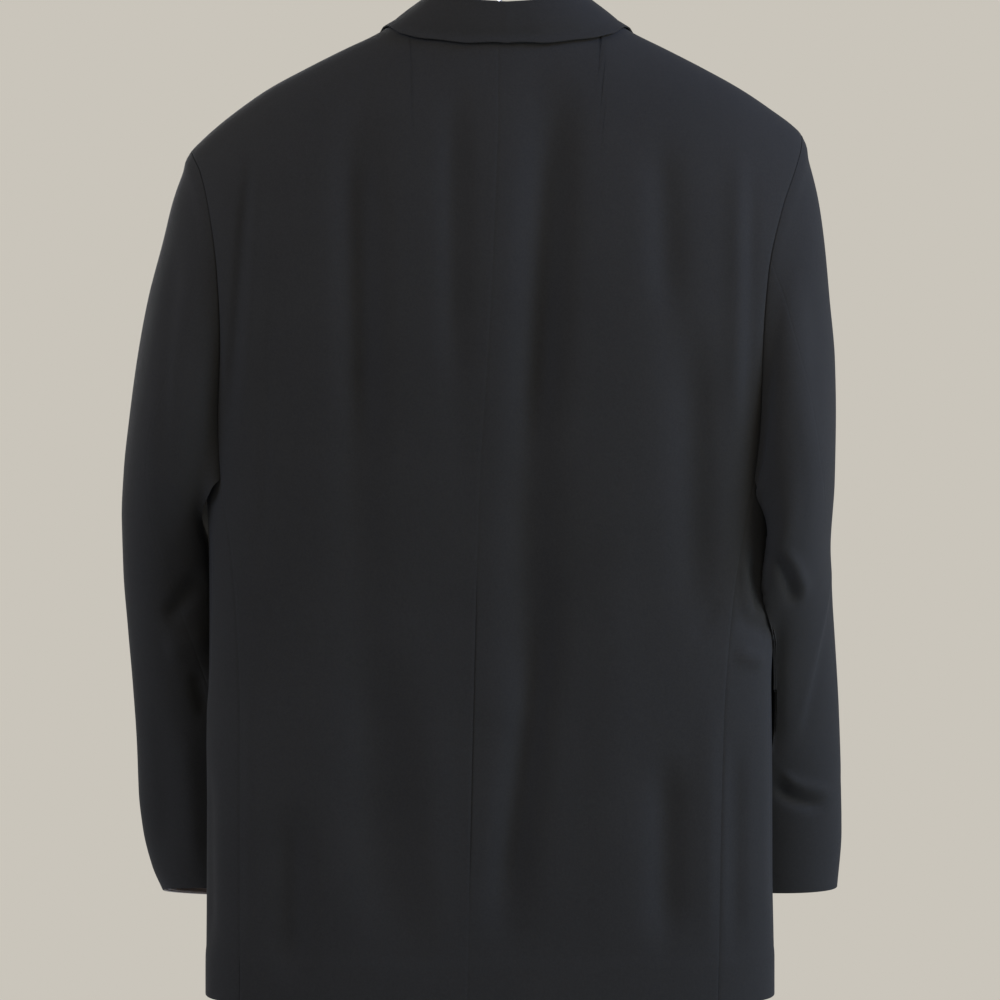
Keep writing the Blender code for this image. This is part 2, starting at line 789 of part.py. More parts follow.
def build_cuff_lining(side, ring, stretch, material, collection):
    """A band of lining just inside the cuff, on the sleeve's own rings."""
    face, _, normal = sleeve_walls(side, stretch, ring)
    face = face[-1 - LINING_ROWS :]
    normal = normal[-1 - LINING_ROWS :]
    face[-1] += unit(face[-2] - face[-1]) * 0.001
    outer = face - (CLOTH + LAYER_GAP) * normal
    name = f"cuff_lining_{side_name(side)}"
    wall(name, outer, outer - LINING * normal, material, collection, closed=True)


# ---------------------------------------------------------------- lapels and collar


def build_lapel(side, material, collection):
    rows = 12
    z = np.linspace(LAPEL_START[side], LAPEL_TOP_Z, rows + 1)[:, None]
    share = np.linspace(0, 1, 6)[None, :]
    start = roll_x(side, z)
    end = start + side * read(LAPEL, "width", z)
    if side < 0:
        start = np.minimum(start, roll_x(1, z) - LAPEL_CLEAR)
    width = np.abs(end - start) * share
    x = start + side * width * math.cos(LAPEL_RISE)
    z = z + width * math.sin(LAPEL_RISE)
    lift = LAPEL_GAP + LAPEL_LIFT * np.sin(math.pi * share) * np.ones_like(x)
    back = on_front(side, x, z, lift[..., None])
    face = on_front(side, x, z, lift[..., None] + CLOTH)
    wall(f"lapel_{side_name(side)}", face, back, material, collection)


def neck_seam(side, at):
    """Points of the neck seam at these places of the collar's table."""
    x = NECK_X + side * NECK_HALF_WIDTH * np.minimum(at, 1)
    behind = body_point(x, neckline_level(x), 1)
    z = mix(ridge_z(neck_x(side)), GORGE_Z, np.maximum(at - 1, 0))
    before = on_front(side, roll_x(side, z), z, 0.0)
    return np.where(at[:, None] <= 1, behind, before)


def body_profile(side, x):
    """The body's outline at this x, from the front's armpit over the ridge to the back's."""
    level = body_levels()[BODY_ROWS // 2 :]
    front = body_point(x + 0 * level, level, -1)[:, 1:]
    back = body_point(x + 0 * level, level, 1)[:, 1:]
    return np.concatenate([front, back[::-1][1:]])


def keep_off(spot, side, gap, outside=True):
    """Moves a point square to the body's outline, to at least this far outside or inside."""
    line = body_profile(side, spot[0])
    start, step = line[:-1], np.diff(line, axis=0)
    share = ((spot[1:] - start) * step).sum(1) / (step**2).sum(1)
    foot = start + np.clip(share, 0, 1)[:, None] * step
    near = np.argmin(np.linalg.norm(foot - spot[1:], axis=1))
    away = unit(np.array([-step[near][1], step[near][0]]))
    if not outside:
        away = -away
    short = gap - (spot[1:] - foot[near]) @ away
    moved = spot.copy()
    moved[1:] += max(short, 0) * away
    return moved


def collar_edge(side, at):
    """The outer edge of the fall, lying on the body."""
    x = NECK_X + side * read(COLLAR, "edge_x", at, key="at")
    rows = []
    for edge_x, edge_z, face in zip(COLLAR["edge_x"], COLLAR["edge_z"], COLLAR["face"]):
        level = float(level_at(NECK_X + side * edge_x, edge_z, 1 if face >= 0 else -1))
        rows.append(2.0 if face == 0 else level if face > 0 else 4 - level)
    over = curve(COLLAR["at"], np.array(rows), at)
    facing = np.where(over <= 2, 1, -1)
    level = np.minimum(over, 4 - over)
    behind, before = body_point(x, level, 1), body_point(x, level, -1)
    return np.where(facing[:, None] > 0, behind, before)


def collar_frame(side, at):
    """Fold points of the collar with two directions square to it: away and over."""

    def fold_at(place):
        x = NECK_X + side * read(COLLAR, "fold_x", place, key="at")
        y = read(COLLAR, "fold_y", place, key="at")
        return points(x, y, read(COLLAR, "fold_z", place, key="at"))

    fold = fold_at(at)
    along = unit(fold_at(np.minimum(at + 0.02, 2)) - fold_at(np.maximum(at - 0.02, 0)))
    along[at < 0.02] = (side, 0, 0)
    out = points(fold[:, 0] - NECK_X, fold[:, 1] + 0.010, 0 * at)
    away = unit(out - (out * along).sum(-1, keepdims=True) * along)
    over = unit(np.cross(along, away)) * side
    return fold, away, over


def crest(frame, degrees):
    """A point round the fold: 0 outside, 90 on top, 180 inside."""
    fold, away, over = frame
    turn = math.radians(degrees)
    return fold + FOLD_RADIUS * (away * math.cos(turn) + over * (math.sin(turn) - 1))


def collar_path(side, at):
    """The fall's outer face: round the fold, then down to its edge on the body."""
    frame = collar_frame(side, at)
    path = [crest(frame, degrees) for degrees in (150, 112, 75, 38, 0)]
    low = path[-1]
    for share in (0.25, 0.5, 0.75, 1.0):
        bent = at - NOTCH * ease(at - 1) * ease((share - 0.4) / 0.6)
        bulge = FALL_BULGE * math.sin(math.pi * share)
        path.append(mix(low, collar_edge(side, bent), share) + bulge * frame[1])
    return np.stack(path, axis=1)


def collar_half(side):
    """Four grids of one side: the fall's faces, then the stand's."""
    at = np.array(COLLAR_PLACES)
    outer = collar_path(side, at)
    inner = outer - COLLAR_CLOTH * side * grid_normals(outer)
    for r in range(len(outer)):
        for c in range(4, outer.shape[1]):
            inner[r, c] = keep_off(inner[r, c], side, COLLAR_GAP)
            outer[r, c] = keep_off(outer[r, c], side, COLLAR_GAP + COLLAR_CLOTH)
    at = at[at <= STAND_END]
    frame = collar_frame(side, at)
    top = crest(frame, 180) - 0.0008 * frame[2]
    base = neck_seam(side, at) - (CLOTH * 0.5) * frame[1] + 0.0012 * frame[2]
    stand = np.stack([base, mix(base, top, 0.5), top], axis=1)
    return outer, inner, stand, stand + COLLAR_CLOTH * frame[1][:, None]


def build_collar(material, collection):
    left, right = collar_half(1), collar_half(-1)
    whole = [np.concatenate([b[::-1], a[1:]]) for a, b in zip(left, right)]
    wall("collar_fall", draw_in(whole[0]), draw_in(whole[1]), material, collection)
    wall("collar_stand", draw_in(whole[2]), draw_in(whole[3]), material, collection)


# ---------------------------------------------------------------- pockets and buttons


def build_patch(name, side, spec, rows, columns, material, collection):
    """A flap or welt lying on a front panel."""
    share = np.linspace(0, 1, columns + 1)[None, :]
    down = np.linspace(0, 1, rows + 1)[:, None]
    x = side * mix(spec["x"][0], spec["x"][1], share) + 0 * down
    z = spec["z"] + spec["rise"] * share - spec["height"] * down
    x = x - (0.012 if side < 0 else 0)
    one = np.ones_like(x)[..., None]
    back = on_front(side, x, z, LAYER_GAP * one)
    face = on_front(side, x, z, (LAYER_GAP + CLOTH) * one)
    wall(name, face, back, material, collection)


def button(name, spot, normal, radius, collection):
    """A turned button with a rim and a dished middle, standing on a surface."""
    profile = [
        (0.00, 0.00),
        (0.86, 0.00),
        (1.00, 0.45),
        (0.90, 1.00),
        (0.66, 0.62),
        (0.00, 0.62),
    ]
    tall = BUTTON_HEIGHT * radius
    shell = bmesh.new()
    steps = 14
    rings = []
    for out, up in profile[1:-1]:
        ring = []
        for k in range(steps):
            turn = 2 * math.pi * k / steps
            ring.append(
                shell.verts.new((
                    radius * out * math.cos(turn),
                    radius * out * math.sin(turn),
                    tall * up,
                ))
            )
        rings.append(ring)
    for low, high in zip(rings[:-1], rings[1:]):
        for k in range(steps):
            m = (k + 1) % steps
            shell.faces.new((low[k], low[m], high[m], high[k]))
    shell.faces.new(rings[0][::-1])
    shell.faces.new(rings[-1])
    bmesh.ops.recalc_face_normals(shell, faces=shell.faces)
    mesh = bpy.data.meshes.new(name)
    shell.to_mesh(mesh)
    shell.free()
    item = add_object(name, mesh, bpy.data.materials["black_buttons"], collection)
    item.location = spot
    item.rotation_mode = "QUATERNION"
    item.rotation_quaternion = Vector((0, 0, 1)).rotation_difference(Vector(normal))
    return item


def build_sleeve_buttons(side, face, normal, stretch, column, collection):
    """A row of buttons up from the cuff, standing on the flats between the rings."""
    for k in range(4):
        at = stretch[-1] - CUFF_TO_BUTTON - k * SLEEVE_BUTTON_PITCH
        row = int(np.searchsorted(stretch, at)) - 1
        share = (at - stretch[row]) / (stretch[row + 1] - stretch[row])

        def between(grid):
            ends = mix(grid[:, column - 1], grid[:, column], 0.5)
            return mix(ends[row], ends[row + 1], share)

        direction = unit(between(normal))
        spot = between(face) + direction * 2 * LAYER_GAP
        name = f"sleeve_button_{side_name(side)}_{k + 1}"
        button(name, spot, direction, SLEEVE_BUTTON, collection)


def build_front_buttons(collection):
    for name, z in (("upper", -0.478), ("lower", -0.578)):
        x = centre_front(z)
        spot = on_front(1, x, z, LAYER_GAP + 0.0004)
        direction = unit(spot - on_front(1, x, z, 0.0))
        button(f"front_button_{name}", spot, direction, FRONT_BUTTON, collection)


# ---------------------------------------------------------------- hanger


def build_hanger(material, collection):
    """A shaped wooden bow under the shoulders, thicker and rounded at its ends."""
    sections = 18
    sides = 12
    share = np.linspace(-1, 1, sections + 1)
    x = HANGER_REACH * share
    step = 1e-4
    slope = (ridge_z(x + step) - ridge_z(x - step)) / (2 * step)
    end = np.sqrt(np.clip(1 - np.clip((np.abs(share) - 0.86) / 0.14, 0, 1) ** 2, 0.16, 1))
    half_high = mix(0.0140, 0.0095, np.abs(share)) * end
    half_deep = mix(0.0075, 0.0170, np.abs(share) ** 1.5) * end
    gap = (CLOTH + LAYER_GAP) * np.sqrt(1 + slope**2)
    middle = ridge_z(x) - gap - half_high
    turn = np.arange(sides) * 2 * math.pi / sides
    y = ridge_y(x)[:, None] + half_deep[:, None] * np.sin(turn)
    z = middle[:, None] + half_high[:, None] * np.cos(turn)
    rings = points(x[:, None], y, z)
    for i in range(sections + 1):
        gap = (CLOTH + 4 * LAYER_GAP) * math.sqrt(1 + slope[i] ** 2)
        for k in range(sides):
            rings[i, k] = keep_off(rings[i, k], 1, gap, outside=False)
    shell = bmesh.new()
    verts = [[shell.verts.new(spot) for spot in ring] for ring in rings]
    for low, high in zip(verts[:-1], verts[1:]):
        for k in range(sides):
            m = (k + 1) % sides
            shell.faces.new((low[k], low[m], high[m], high[k]))
    shell.faces.new(verts[0])
    shell.faces.new(verts[-1])
    bmesh.ops.recalc_face_normals(shell, faces=shell.faces)
    mesh = bpy.data.meshes.new("hanger_body")
    shell.to_mesh(mesh)
    shell.free()
    mesh.shade_smooth()
    add_object("hanger_body", mesh, material, collection)
    return rings[sections // 2, 0]


def build_hook(seat, material, collection):
    """A question-mark hook whose inner top is the origin, standing on the bow's middle."""
    arc = HOOK_RADIUS + HOOK_WIRE
    middle = np.array([0.0, 0.0, -HOOK_RADIUS])
    turns = np.radians(np.linspace(-25, 235, 20))
    path = [middle + arc * np.array([math.cos(t), 0, math.sin(t)]) for t in turns]
    foot = seat + np.array([0, 0, SEAM_GAP])
    start = path[-1]
    for share in (0.3, 0.55, 0.78, 1.0):
        bend = math.sin(math.pi * share) * 0.0015
        path.append(mix(start, foot, share) + np.array([bend * (1 - share), 0, 0]))
    path[-2][0], path[-2][1] = foot[0], foot[1]
    wire = bpy.data.curves.new("hanger_hook", "CURVE")
    wire.dimensions = "3D"
    wire.bevel_depth = HOOK_WIRE
    wire.bevel_resolution = 2
    wire.use_fill_caps = True
    spline = wire.splines.new("POLY")
    spline.points.add(len(path) - 1)
    for point, spot in zip(spline.points, path):
        point.co = (*spot, 1.0)
    wire.materials.append(material)
    item = bpy.data.objects.new("hanger_hook", wire)
    collection.objects.link(item)


# ---------------------------------------------------------------- assembly


def main():
    clear_scene()
    collection = bpy.data.collections.new("blazer")
    bpy.context.scene.collection.children.link(collection)
    cloth = make_material("black_worsted", (0.022, 0.022, 0.023), 0.85, sheen=0.15)
    lining = make_material("brown_lining", (0.11, 0.085, 0.07), 0.45)
    wood = make_material("hanger_wood", (0.33, 0.19, 0.09), 0.40)
    steel = make_material("hook_steel", (0.62, 0.62, 0.63), 0.25, metallic=1.0)
    make_material("black_buttons", (0.02, 0.02, 0.02), 0.35)
    for side in (1, -1):
        build_back(side, cloth, collection)
        build_side(side, cloth, collection)
        build_front(side, cloth, collection)
        build_sleeve(side, cloth, lining, collection)
        build_lapel(side, cloth, collection)
        build_patch(f"flap_{side_name(side)}", side, HIP_FLAP, 2, 6, cloth, collection)
    build_patch("welt_breast", 1, BREAST_WELT, 1, 5, cloth, collection)
    build_collar(cloth, collection)
    build_front_buttons(collection)
    seat = build_hanger(wood, collection)
    build_hook(seat, steel, collection)


main()
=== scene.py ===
"""Looks of the blazer on its hanger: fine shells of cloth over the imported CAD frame.

Metres, +Z up, in the frame of the CAD: the garment's front faces -Y, its back +Y.
The surface functions repeat those of the CAD source, with more rows and small creases.
"""

import json
import math

import bmesh
import bpy
import numpy as np
from mathutils import Matrix, Vector

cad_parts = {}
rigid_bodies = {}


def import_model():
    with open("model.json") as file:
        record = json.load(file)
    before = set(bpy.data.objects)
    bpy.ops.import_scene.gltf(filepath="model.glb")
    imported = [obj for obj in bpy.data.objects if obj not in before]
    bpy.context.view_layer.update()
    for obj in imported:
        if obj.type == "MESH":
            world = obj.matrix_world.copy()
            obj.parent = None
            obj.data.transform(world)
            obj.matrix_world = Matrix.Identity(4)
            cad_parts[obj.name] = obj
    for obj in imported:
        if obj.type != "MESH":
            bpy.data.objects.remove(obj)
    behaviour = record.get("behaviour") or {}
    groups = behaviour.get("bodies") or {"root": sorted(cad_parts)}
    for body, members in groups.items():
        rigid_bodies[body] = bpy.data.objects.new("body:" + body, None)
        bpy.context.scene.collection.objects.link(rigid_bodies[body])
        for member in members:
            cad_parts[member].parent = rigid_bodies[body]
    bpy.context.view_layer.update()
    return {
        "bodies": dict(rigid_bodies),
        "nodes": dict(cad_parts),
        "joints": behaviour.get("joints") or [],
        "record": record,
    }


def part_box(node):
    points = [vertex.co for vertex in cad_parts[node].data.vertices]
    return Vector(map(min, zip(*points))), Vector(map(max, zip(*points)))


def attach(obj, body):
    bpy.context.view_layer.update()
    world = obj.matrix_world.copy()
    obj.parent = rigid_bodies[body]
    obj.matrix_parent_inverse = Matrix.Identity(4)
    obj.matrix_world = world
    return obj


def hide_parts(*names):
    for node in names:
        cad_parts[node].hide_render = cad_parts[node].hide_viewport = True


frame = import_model()

# Sizes of the garment, as in the CAD source but for a smaller SLEEVE_CLEARANCE
CLOTH = 0.0020
COLLAR_CLOTH = 0.0018
LINING = 0.0010
LAYER_GAP = 0.0004
HEM_Z = -0.871
FRONT_HEM_DROP = 0.012
ARMPIT_Z = -0.444
ARMPIT_DIP = 0.006
BREAK_Z = -0.470
GORGE_Z = -0.128
QUARTER_Z = -0.690
OVERLAP = 0.018
TUCK = 0.0050
TUCK_RAMP = 0.035
QUARTER_CUT = 0.055
NECK_X = -0.0055
NECK_HALF_WIDTH = 0.078
NECK_BACK_Z = -0.0855
FOLD_RADIUS = 0.0028
FALL_BULGE = 0.0015
LAPEL_RISE = math.radians(12)
LAPEL_START = {1: -0.462, -1: -0.422}
LAPEL_TOP_Z = -0.1300
LAPEL_GAP = 0.0009
LAPEL_CLEAR = 0.0030
LAPEL_LIFT = 0.0020
COLLAR_GAP = 0.0017
STAND_END = 1.6
NOTCH = 0.55
BACK_SQUARE = 2.8
FRONT_SQUARE = 2.4
CROWN = 2.5
SLEEVE_CLEARANCE = 0.0015
SLEEVE_SQUARE = {1: 3.0, -1: 3.6}
CUFF_SQUARE = 2.4
UNDERARM_LEAN = 1.2
SQUARE_LENGTH = 0.50
FRONT_BUTTON = 0.0100
SLEEVE_BUTTON = 0.0060
BUTTON_HEIGHT = 0.35

# Colours and sheen
CLOTH_DARK = (0.0063, 0.0060, 0.0052)
CLOTH_LIGHT = (0.0167, 0.0158, 0.0138)
CLOTH_SHEEN = 0.014
SHEEN_TINT = (0.80, 0.87, 1.0)
SHEEN_ROUGHNESS = 0.45
WALL = (0.590, 0.558, 0.497)
FLOOR_DARK = (0.66, 0.64, 0.60)
FLOOR_LIGHT = (0.72, 0.70, 0.66)
LINING_DARK = (0.070, 0.052, 0.040)
LINING_LIGHT = (0.150, 0.115, 0.092)
THREAD_DARK = (0.008, 0.008, 0.009)
THREAD_LIGHT = (0.03, 0.03, 0.032)
BUTTON_DARK = (0.010, 0.010, 0.011)
BUTTON_LIGHT = (0.032, 0.030, 0.029)
STEEL_DARK = (0.50, 0.50, 0.51)
STEEL_LIGHT = (0.70, 0.70, 0.71)
WOOD_DARK = (0.16, 0.075, 0.030)
WOOD_MIDDLE = (0.33, 0.185, 0.085)
WOOD_LIGHT = (0.46, 0.29, 0.15)

# Weave: distances between ribs and threads in metres, and the ribs' angle
RIB_PITCH = 0.00062
RIB_ANGLE = math.radians(63)
PICK_PITCH = 0.00045
SATIN_PITCH = 0.00030

# Lights: name, direction from the aim, distance, size, power in watts, colour
LIGHTS = (
    ("key", (-0.80, 0.17, 0.58), 3.6, 1.6, 150, (0.24, 0.44, 1.0)),
    ("rim", (0.82, 0.42, 0.35), 3.6, 1.6, 88, (0.46, 0.61, 1.0)),
    ("lamp_right", (-1.30, 0.55, 0.55), 1.515, 0.7, 10, (1.0, 0.72, 0.35)),
    ("lamp_left", (0.90, 0.70, 0.95), 1.483, 0.7, 5, (1.0, 0.84, 0.60)),
    ("window", (-1.50, 0.62, 0.05), 1.63, 0.7, 22, (0.58, 0.77, 1.0)),
    ("front", (0.45, -0.80, 0.40), 3.6, 1.6, 45, (0.92, 0.95, 1.0)),
)
LIGHTS_AIM = (0, 0, -0.45)
FLOOR_HALF = 5
FLOOR_Z = -1.9
CAMERA_SPOT = (0, 2.085, -0.461)
CAMERA_LENS = 90
CAMERA_SENSOR = 36


def table(names, *rows):
    """A small table as a dictionary of its columns. What a row leaves out at its end is 0."""
    names = names.split()
    full = [(*row, *[0] * (len(names) - len(row))) for row in rows]
    return dict(zip(names, np.array(full, float).T))


BODY = table(
    "z x_mid half back front",
    (-0.890, 0.0083, 0.2360, 0.0740, 0.0780),
    (-0.700, 0.0083, 0.2360, 0.0690, 0.0760),
    (-0.560, 0.0078, 0.2350, 0.0660, 0.0760),
    (-0.444, 0.0055, 0.2380, 0.0740, 0.0800),
    (-0.320, 0.0030, 0.2500, 0.0800, 0.0800),
    (-0.230, 0.0000, 0.2580, 0.0820, 0.0770),
    (-0.150, -0.003, 0.2680, 0.0820, 0.0740),
    (-0.030, -0.005, 0.2720, 0.0800, 0.0720),
)
# The ridge is higher at the neck than in the CAD, under the collar
SHOULDER = table(
    "x z",
    (-0.2550, -0.1580),
    (-0.2489, -0.1509),
    (-0.2263, -0.1342),
    (-0.2003, -0.1174),
    (-0.1693, -0.1007),
    (-0.1383, -0.0852),
    (-0.1120, -0.0725),
    (-0.0835, -0.0565),
    (-0.0055, -0.0310),
    (0.0725, -0.0565),
    (0.1080, -0.0755),
    (0.1265, -0.0839),
    (0.1609, -0.1007),
    (0.1927, -0.1174),
    (0.2179, -0.1342),
    (0.2397, -0.1509),
    (0.2600, -0.1690),
)
BACK_EDGE = table(
    "z left right",
    (-0.871, 0.2120, -0.1770),
    (-0.640, 0.2125, -0.1825),
    (-0.560, 0.2155, -0.1885),
    (-0.500, 0.2205, -0.1965),
    (-0.444, 0.2290, -0.2075),
    (-0.400, 0.2310, -0.2125),
    (-0.330, 0.2285, -0.2145),
    (-0.275, 0.2315, -0.2190),
    (-0.220, 0.2400, -0.2320),
    (-0.190, 0.2480, -0.2430),
    (-0.168, 0.2580, -0.2500),
    (-0.154, 0.2600, -0.2525),
)
FRONT_EDGE = table(
    "z left right",
    (-0.885, 0.1650, -0.1500),
    (-0.640, 0.1700, -0.1550),
    (-0.520, 0.1900, -0.1750),
    (-0.444, 0.2120, -0.1960),
    (-0.380, 0.2160, -0.2030),
    (-0.320, 0.2180, -0.2070),
    (-0.260, 0.2260, -0.2160),
    (-0.210, 0.2400, -0.2340),
    (-0.185, 0.2495, -0.2440),
    (-0.168, 0.2580, -0.2500),
    (-0.154, 0.2600, -0.2525),
)
CENTRE = table(
    "z x",
    (-0.871, 0.0265),
    (-0.670, 0.0225),
    (-0.460, 0.0168),
    (-0.260, 0.0080),
    (-0.070, 0.0015),
)
BACK_FOLDS = table(
    "x_top z_top x_low z_low width depth",
    (0.1140, -0.130, 0.1080, -0.450, 0.0150, 0.0065),
    (0.1000, -0.560, 0.0840, -0.850, 0.0240, 0.0060),
    (-0.0500, -0.100, -0.0240, -0.460, 0.0160, 0.0075),
    (-0.0300, -0.420, -0.0200, -0.640, 0.0240, 0.0050),
    (-0.0380, -0.540, 0.0040, -0.830, 0.0140, 0.0060),
    (0.0360, -0.110, 0.0360, -0.380, 0.0110, 0.0030),
    (-0.1300, -0.160, -0.1340, -0.320, 0.0130, 0.0030),
    (-0.1560, -0.300, -0.1600, -0.580, 0.0150, 0.0045),
    (-0.1340, -0.660, -0.1340, -0.830, 0.0150, 0.0050),
    (0.1680, -0.700, 0.1680, -0.860, 0.0140, 0.0050),
)
LAPEL = table(
    "z width",
    (-0.470, 0.0030),
    (-0.420, 0.0220),
    (-0.350, 0.0470),
    (-0.270, 0.0670),
    (-0.200, 0.0790),
    (-0.150, 0.0850),
    (-0.128, 0.0850),
)
# The edge of the fall is flatter at the middle than in the CAD
COLLAR = table(
    "at fold_x fold_y fold_z edge_x edge_z face",
    (0.00, 0.0000, 0.0470, -0.0545, 0.0000, -0.0908, 1),
    (0.25, 0.0190, 0.0455, -0.0530, 0.0275, -0.0903, 1),
    (0.50, 0.0370, 0.0410, -0.0490, 0.0550, -0.0870, 1),
    (0.85, 0.0590, 0.0240, -0.0420, 0.0880, -0.0795, 1),
    (1.00, 0.0665, 0.0000, -0.0400, 0.1050, -0.0735, 0),
    (1.25, 0.0705, -0.0310, -0.0560, 0.1150, -0.0900, -1),
    (1.60, 0.0670, -0.0490, -0.0900, 0.1200, -0.1080, -1),
    (2.00, 0.0612, -0.0575, -0.1265, 0.1120, -0.1120, -1),
)
SLEEVE_COLUMNS = "outer_x outer_z inner_x inner_z y_mid y_half slant twist tilt"
SLEEVE = {
    1: table(
        SLEEVE_COLUMNS,
        (0.2745, -0.2084, 0.2475, -0.4560, -0.006, 0.057),
        (0.2829, -0.2421, 0.2490, -0.4620, -0.008, 0.061),
        (0.2960, -0.2930, 0.2495, -0.4690, -0.012, 0.065),
        (0.3050, -0.3430, 0.2490, -0.4770, -0.018, 0.068, 0.02),
        (0.3118, -0.3940, 0.2460, -0.4880, -0.027, 0.070, 0.06, 2),
        (0.3170, -0.4360, 0.2400, -0.5020, -0.038, 0.070, 0.12, 6),
        (0.3200, -0.4780, 0.2320, -0.5240, -0.051, 0.069, 0.20, 12),
        (0.3202, -0.5200, 0.2220, -0.5520, -0.063, 0.066, 0.26, 20),
        (0.3179, -0.5705, 0.2110, -0.5930, -0.073, 0.062, 0.28, 29),
        (0.3150, -0.6210, 0.2030, -0.6350, -0.079, 0.057, 0.26, 38, 0.02),
        (0.3128, -0.6715, 0.2000, -0.6790, -0.083, 0.052, 0.22, 46, 0.06),
        (0.3120, -0.7136, 0.2000, -0.7180, -0.086, 0.048, 0.20, 52, 0.12),
        (0.3087, -0.7473, 0.1990, -0.7500, -0.088, 0.046, 0.20, 55, 0.18),
        (0.3009, -0.7800, 0.1980, -0.7800, -0.089, 0.045, 0.20, 56, 0.22),
        (0.2915, -0.8015, 0.1970, -0.8015, -0.089, 0.045, 0.20, 56, 0.22),
    ),
    -1: table(
        SLEEVE_COLUMNS,
        (-0.2665, -0.2084, -0.2310, -0.4560, -0.003, 0.057),
        (-0.2712, -0.2421, -0.2270, -0.4620, -0.003, 0.061, -0.02),
        (-0.2758, -0.2926, -0.2230, -0.4690, -0.004, 0.066, -0.06),
        (-0.2803, -0.3431, -0.2200, -0.4780, -0.006, 0.069, -0.10),
        (-0.2815, -0.3936, -0.2180, -0.4890, -0.009, 0.071, -0.14),
        (-0.2811, -0.4442, -0.2150, -0.5040, -0.013, 0.072, -0.16, -8),
        (-0.2792, -0.4947, -0.2080, -0.5290, -0.023, 0.071, -0.16, -18),
        (-0.2838, -0.5452, -0.1920, -0.5620, -0.039, 0.068, -0.12, -30),
        (-0.2880, -0.5957, -0.1740, -0.6060, -0.057, 0.063, -0.05, -44),
        (-0.2912, -0.6462, -0.1660, -0.6530, -0.066, 0.058, 0.02, -60),
        (-0.2934, -0.6968, -0.1680, -0.7010, -0.072, 0.053, 0.05, -86),
        (-0.2945, -0.7473, -0.1740, -0.7500, -0.076, 0.048, 0.08, -98),
        (-0.2910, -0.7945, -0.1800, -0.7945, -0.078, 0.045, 0.08, -102),
    ),
}
HIP_FLAP = {"x": (0.062, 0.166), "z": -0.600, "height": 0.052, "rise": 0.010}
BREAST_WELT = {"x": (0.132, 0.206), "z": -0.246, "height": 0.024, "rise": 0.014}

# Steps of the grids beside a sewn edge and beside a free one, and elsewhere
SEAM_STEPS = (0.0008, 0.0016, 0.0026, 0.0040)
EDGE_STEPS = (0.00012, 0.00030, 0.00060, 0.00100, 0.00180, 0.00300)
GRID_STEP = 0.0038
# Grids of the pieces: the length that they are spaced for, and the step
BACK_GRID = (0.205, 0.0033)
FRONT_GRID = (0.190, 0.0034)
SIDE_GRID = (0.125, 0.0036)
LAPEL_GRID = (0.085, 0.0034)
LAPEL_STEP = 0.0040
FALL_GRID = (0.045, 0.0030)
COLLAR_GRID = (0.30, 0.0035)
CROWN_LENGTH = 0.40
RING_STEP = 0.0075
PROFILE_STEP = 0.008
SLEEVE_STEP = 0.0037
PATCH_STEPS = (0.0032, 0.0030)
CREST_COLUMNS = 9
ROLL_COLUMNS = 9
STAND_COLUMNS = 9
STAND_BOW = 0.0010
SETTLE_ROUNDS = 12
PANEL_HALF = 0.23

SEAM_DEPTH = 0.00035
SEAM_WIDTH = 0.0011
CENTRE_SEAM = 0.00018
SLEEVE_SEAM = 0.0005
FAINT_SEAM = 0.00012
SEAM_SHOWS_Z = -0.58
# Down a sleeve: where its lining starts to show, and where its wall turns along its normals
LINED_FROM = 0.54
WALL_TURNS = 0.53
HIND_LEVEL = 1 + 3 / 9
FORE_LEVEL = 1 + 2 / 9
VENT_LENGTH = 0.105
VENT_UNDER = 0.0016
VENT_OVER = 0.0006
HEM_TURN_Z = -0.8325
HEM_STEP = 0.0005
SEAM_STEP = 0.0004
SEAM_STEP_WIDTH = 0.010
SEAM_STEP_Z = (-0.800, -0.500)
CREASE_END = 0.3
PANEL_FADE = 0.008
SIDE_FADE = 0.006
SLEEVE_FADE = 0.03
CAP_PUFF = 0.0016
CUFF_LINING = (0.038, 0.0008)
LINING_PUFF = 0.0004
RIGHT_FLAP_SHIFT = 0.012
FLAP_CORNER = 0.010
FLAP_LIFT = 0.0010
BUTTON_PROUD = 0.0003
FRONT_BUTTON_PROUD = 0.0005
FRONT_BUTTONS = (("upper", -0.478, 0.2), ("lower", -0.578, 0.6))

# A button: rings of its upper face, its section and its under side, in radii and heights
BUTTON_RINGS = np.concatenate([np.linspace(0.02, 0.5, 22), np.linspace(0.53, 1.0, 16)])
BUTTON_STEPS = 56
BUTTON_FACE = table(
    "out up",
    (0.000, 0.60),
    (0.550, 0.62),
    (0.660, 0.68),
    (0.760, 0.93),
    (0.860, 1.00),
    (0.950, 0.88),
    (1.000, 0.55),
    (1.010, 0.50),
)
BUTTON_UNDER = ((0.97, 0.25), (0.86, 0.02), (0.02, 0.0))
HOLES = 4
HOLE_AWAY = 0.24
HOLE_RADIUS = 0.115
HOLE_DEPTH = 0.42
HOLE_EDGE = 0.04
# Its thread: sides and steps of a strand, its offset, thickness, foot and rise
THREAD_SIDES = 8
THREAD_STEPS = 14
THREAD_OFFSET = 0.028
THREAD_THICK = 0.032
THREAD_FOOT = 0.34
THREAD_RISE = 0.52

# Small creases: a line from one point to another, a half width, a depth inwards, and in a
# few rows a bow to its right and a step down to its right. Lines start at their upper ends.
CREASE_COLUMNS = "x_from z_from x_to z_to width depth bow step"

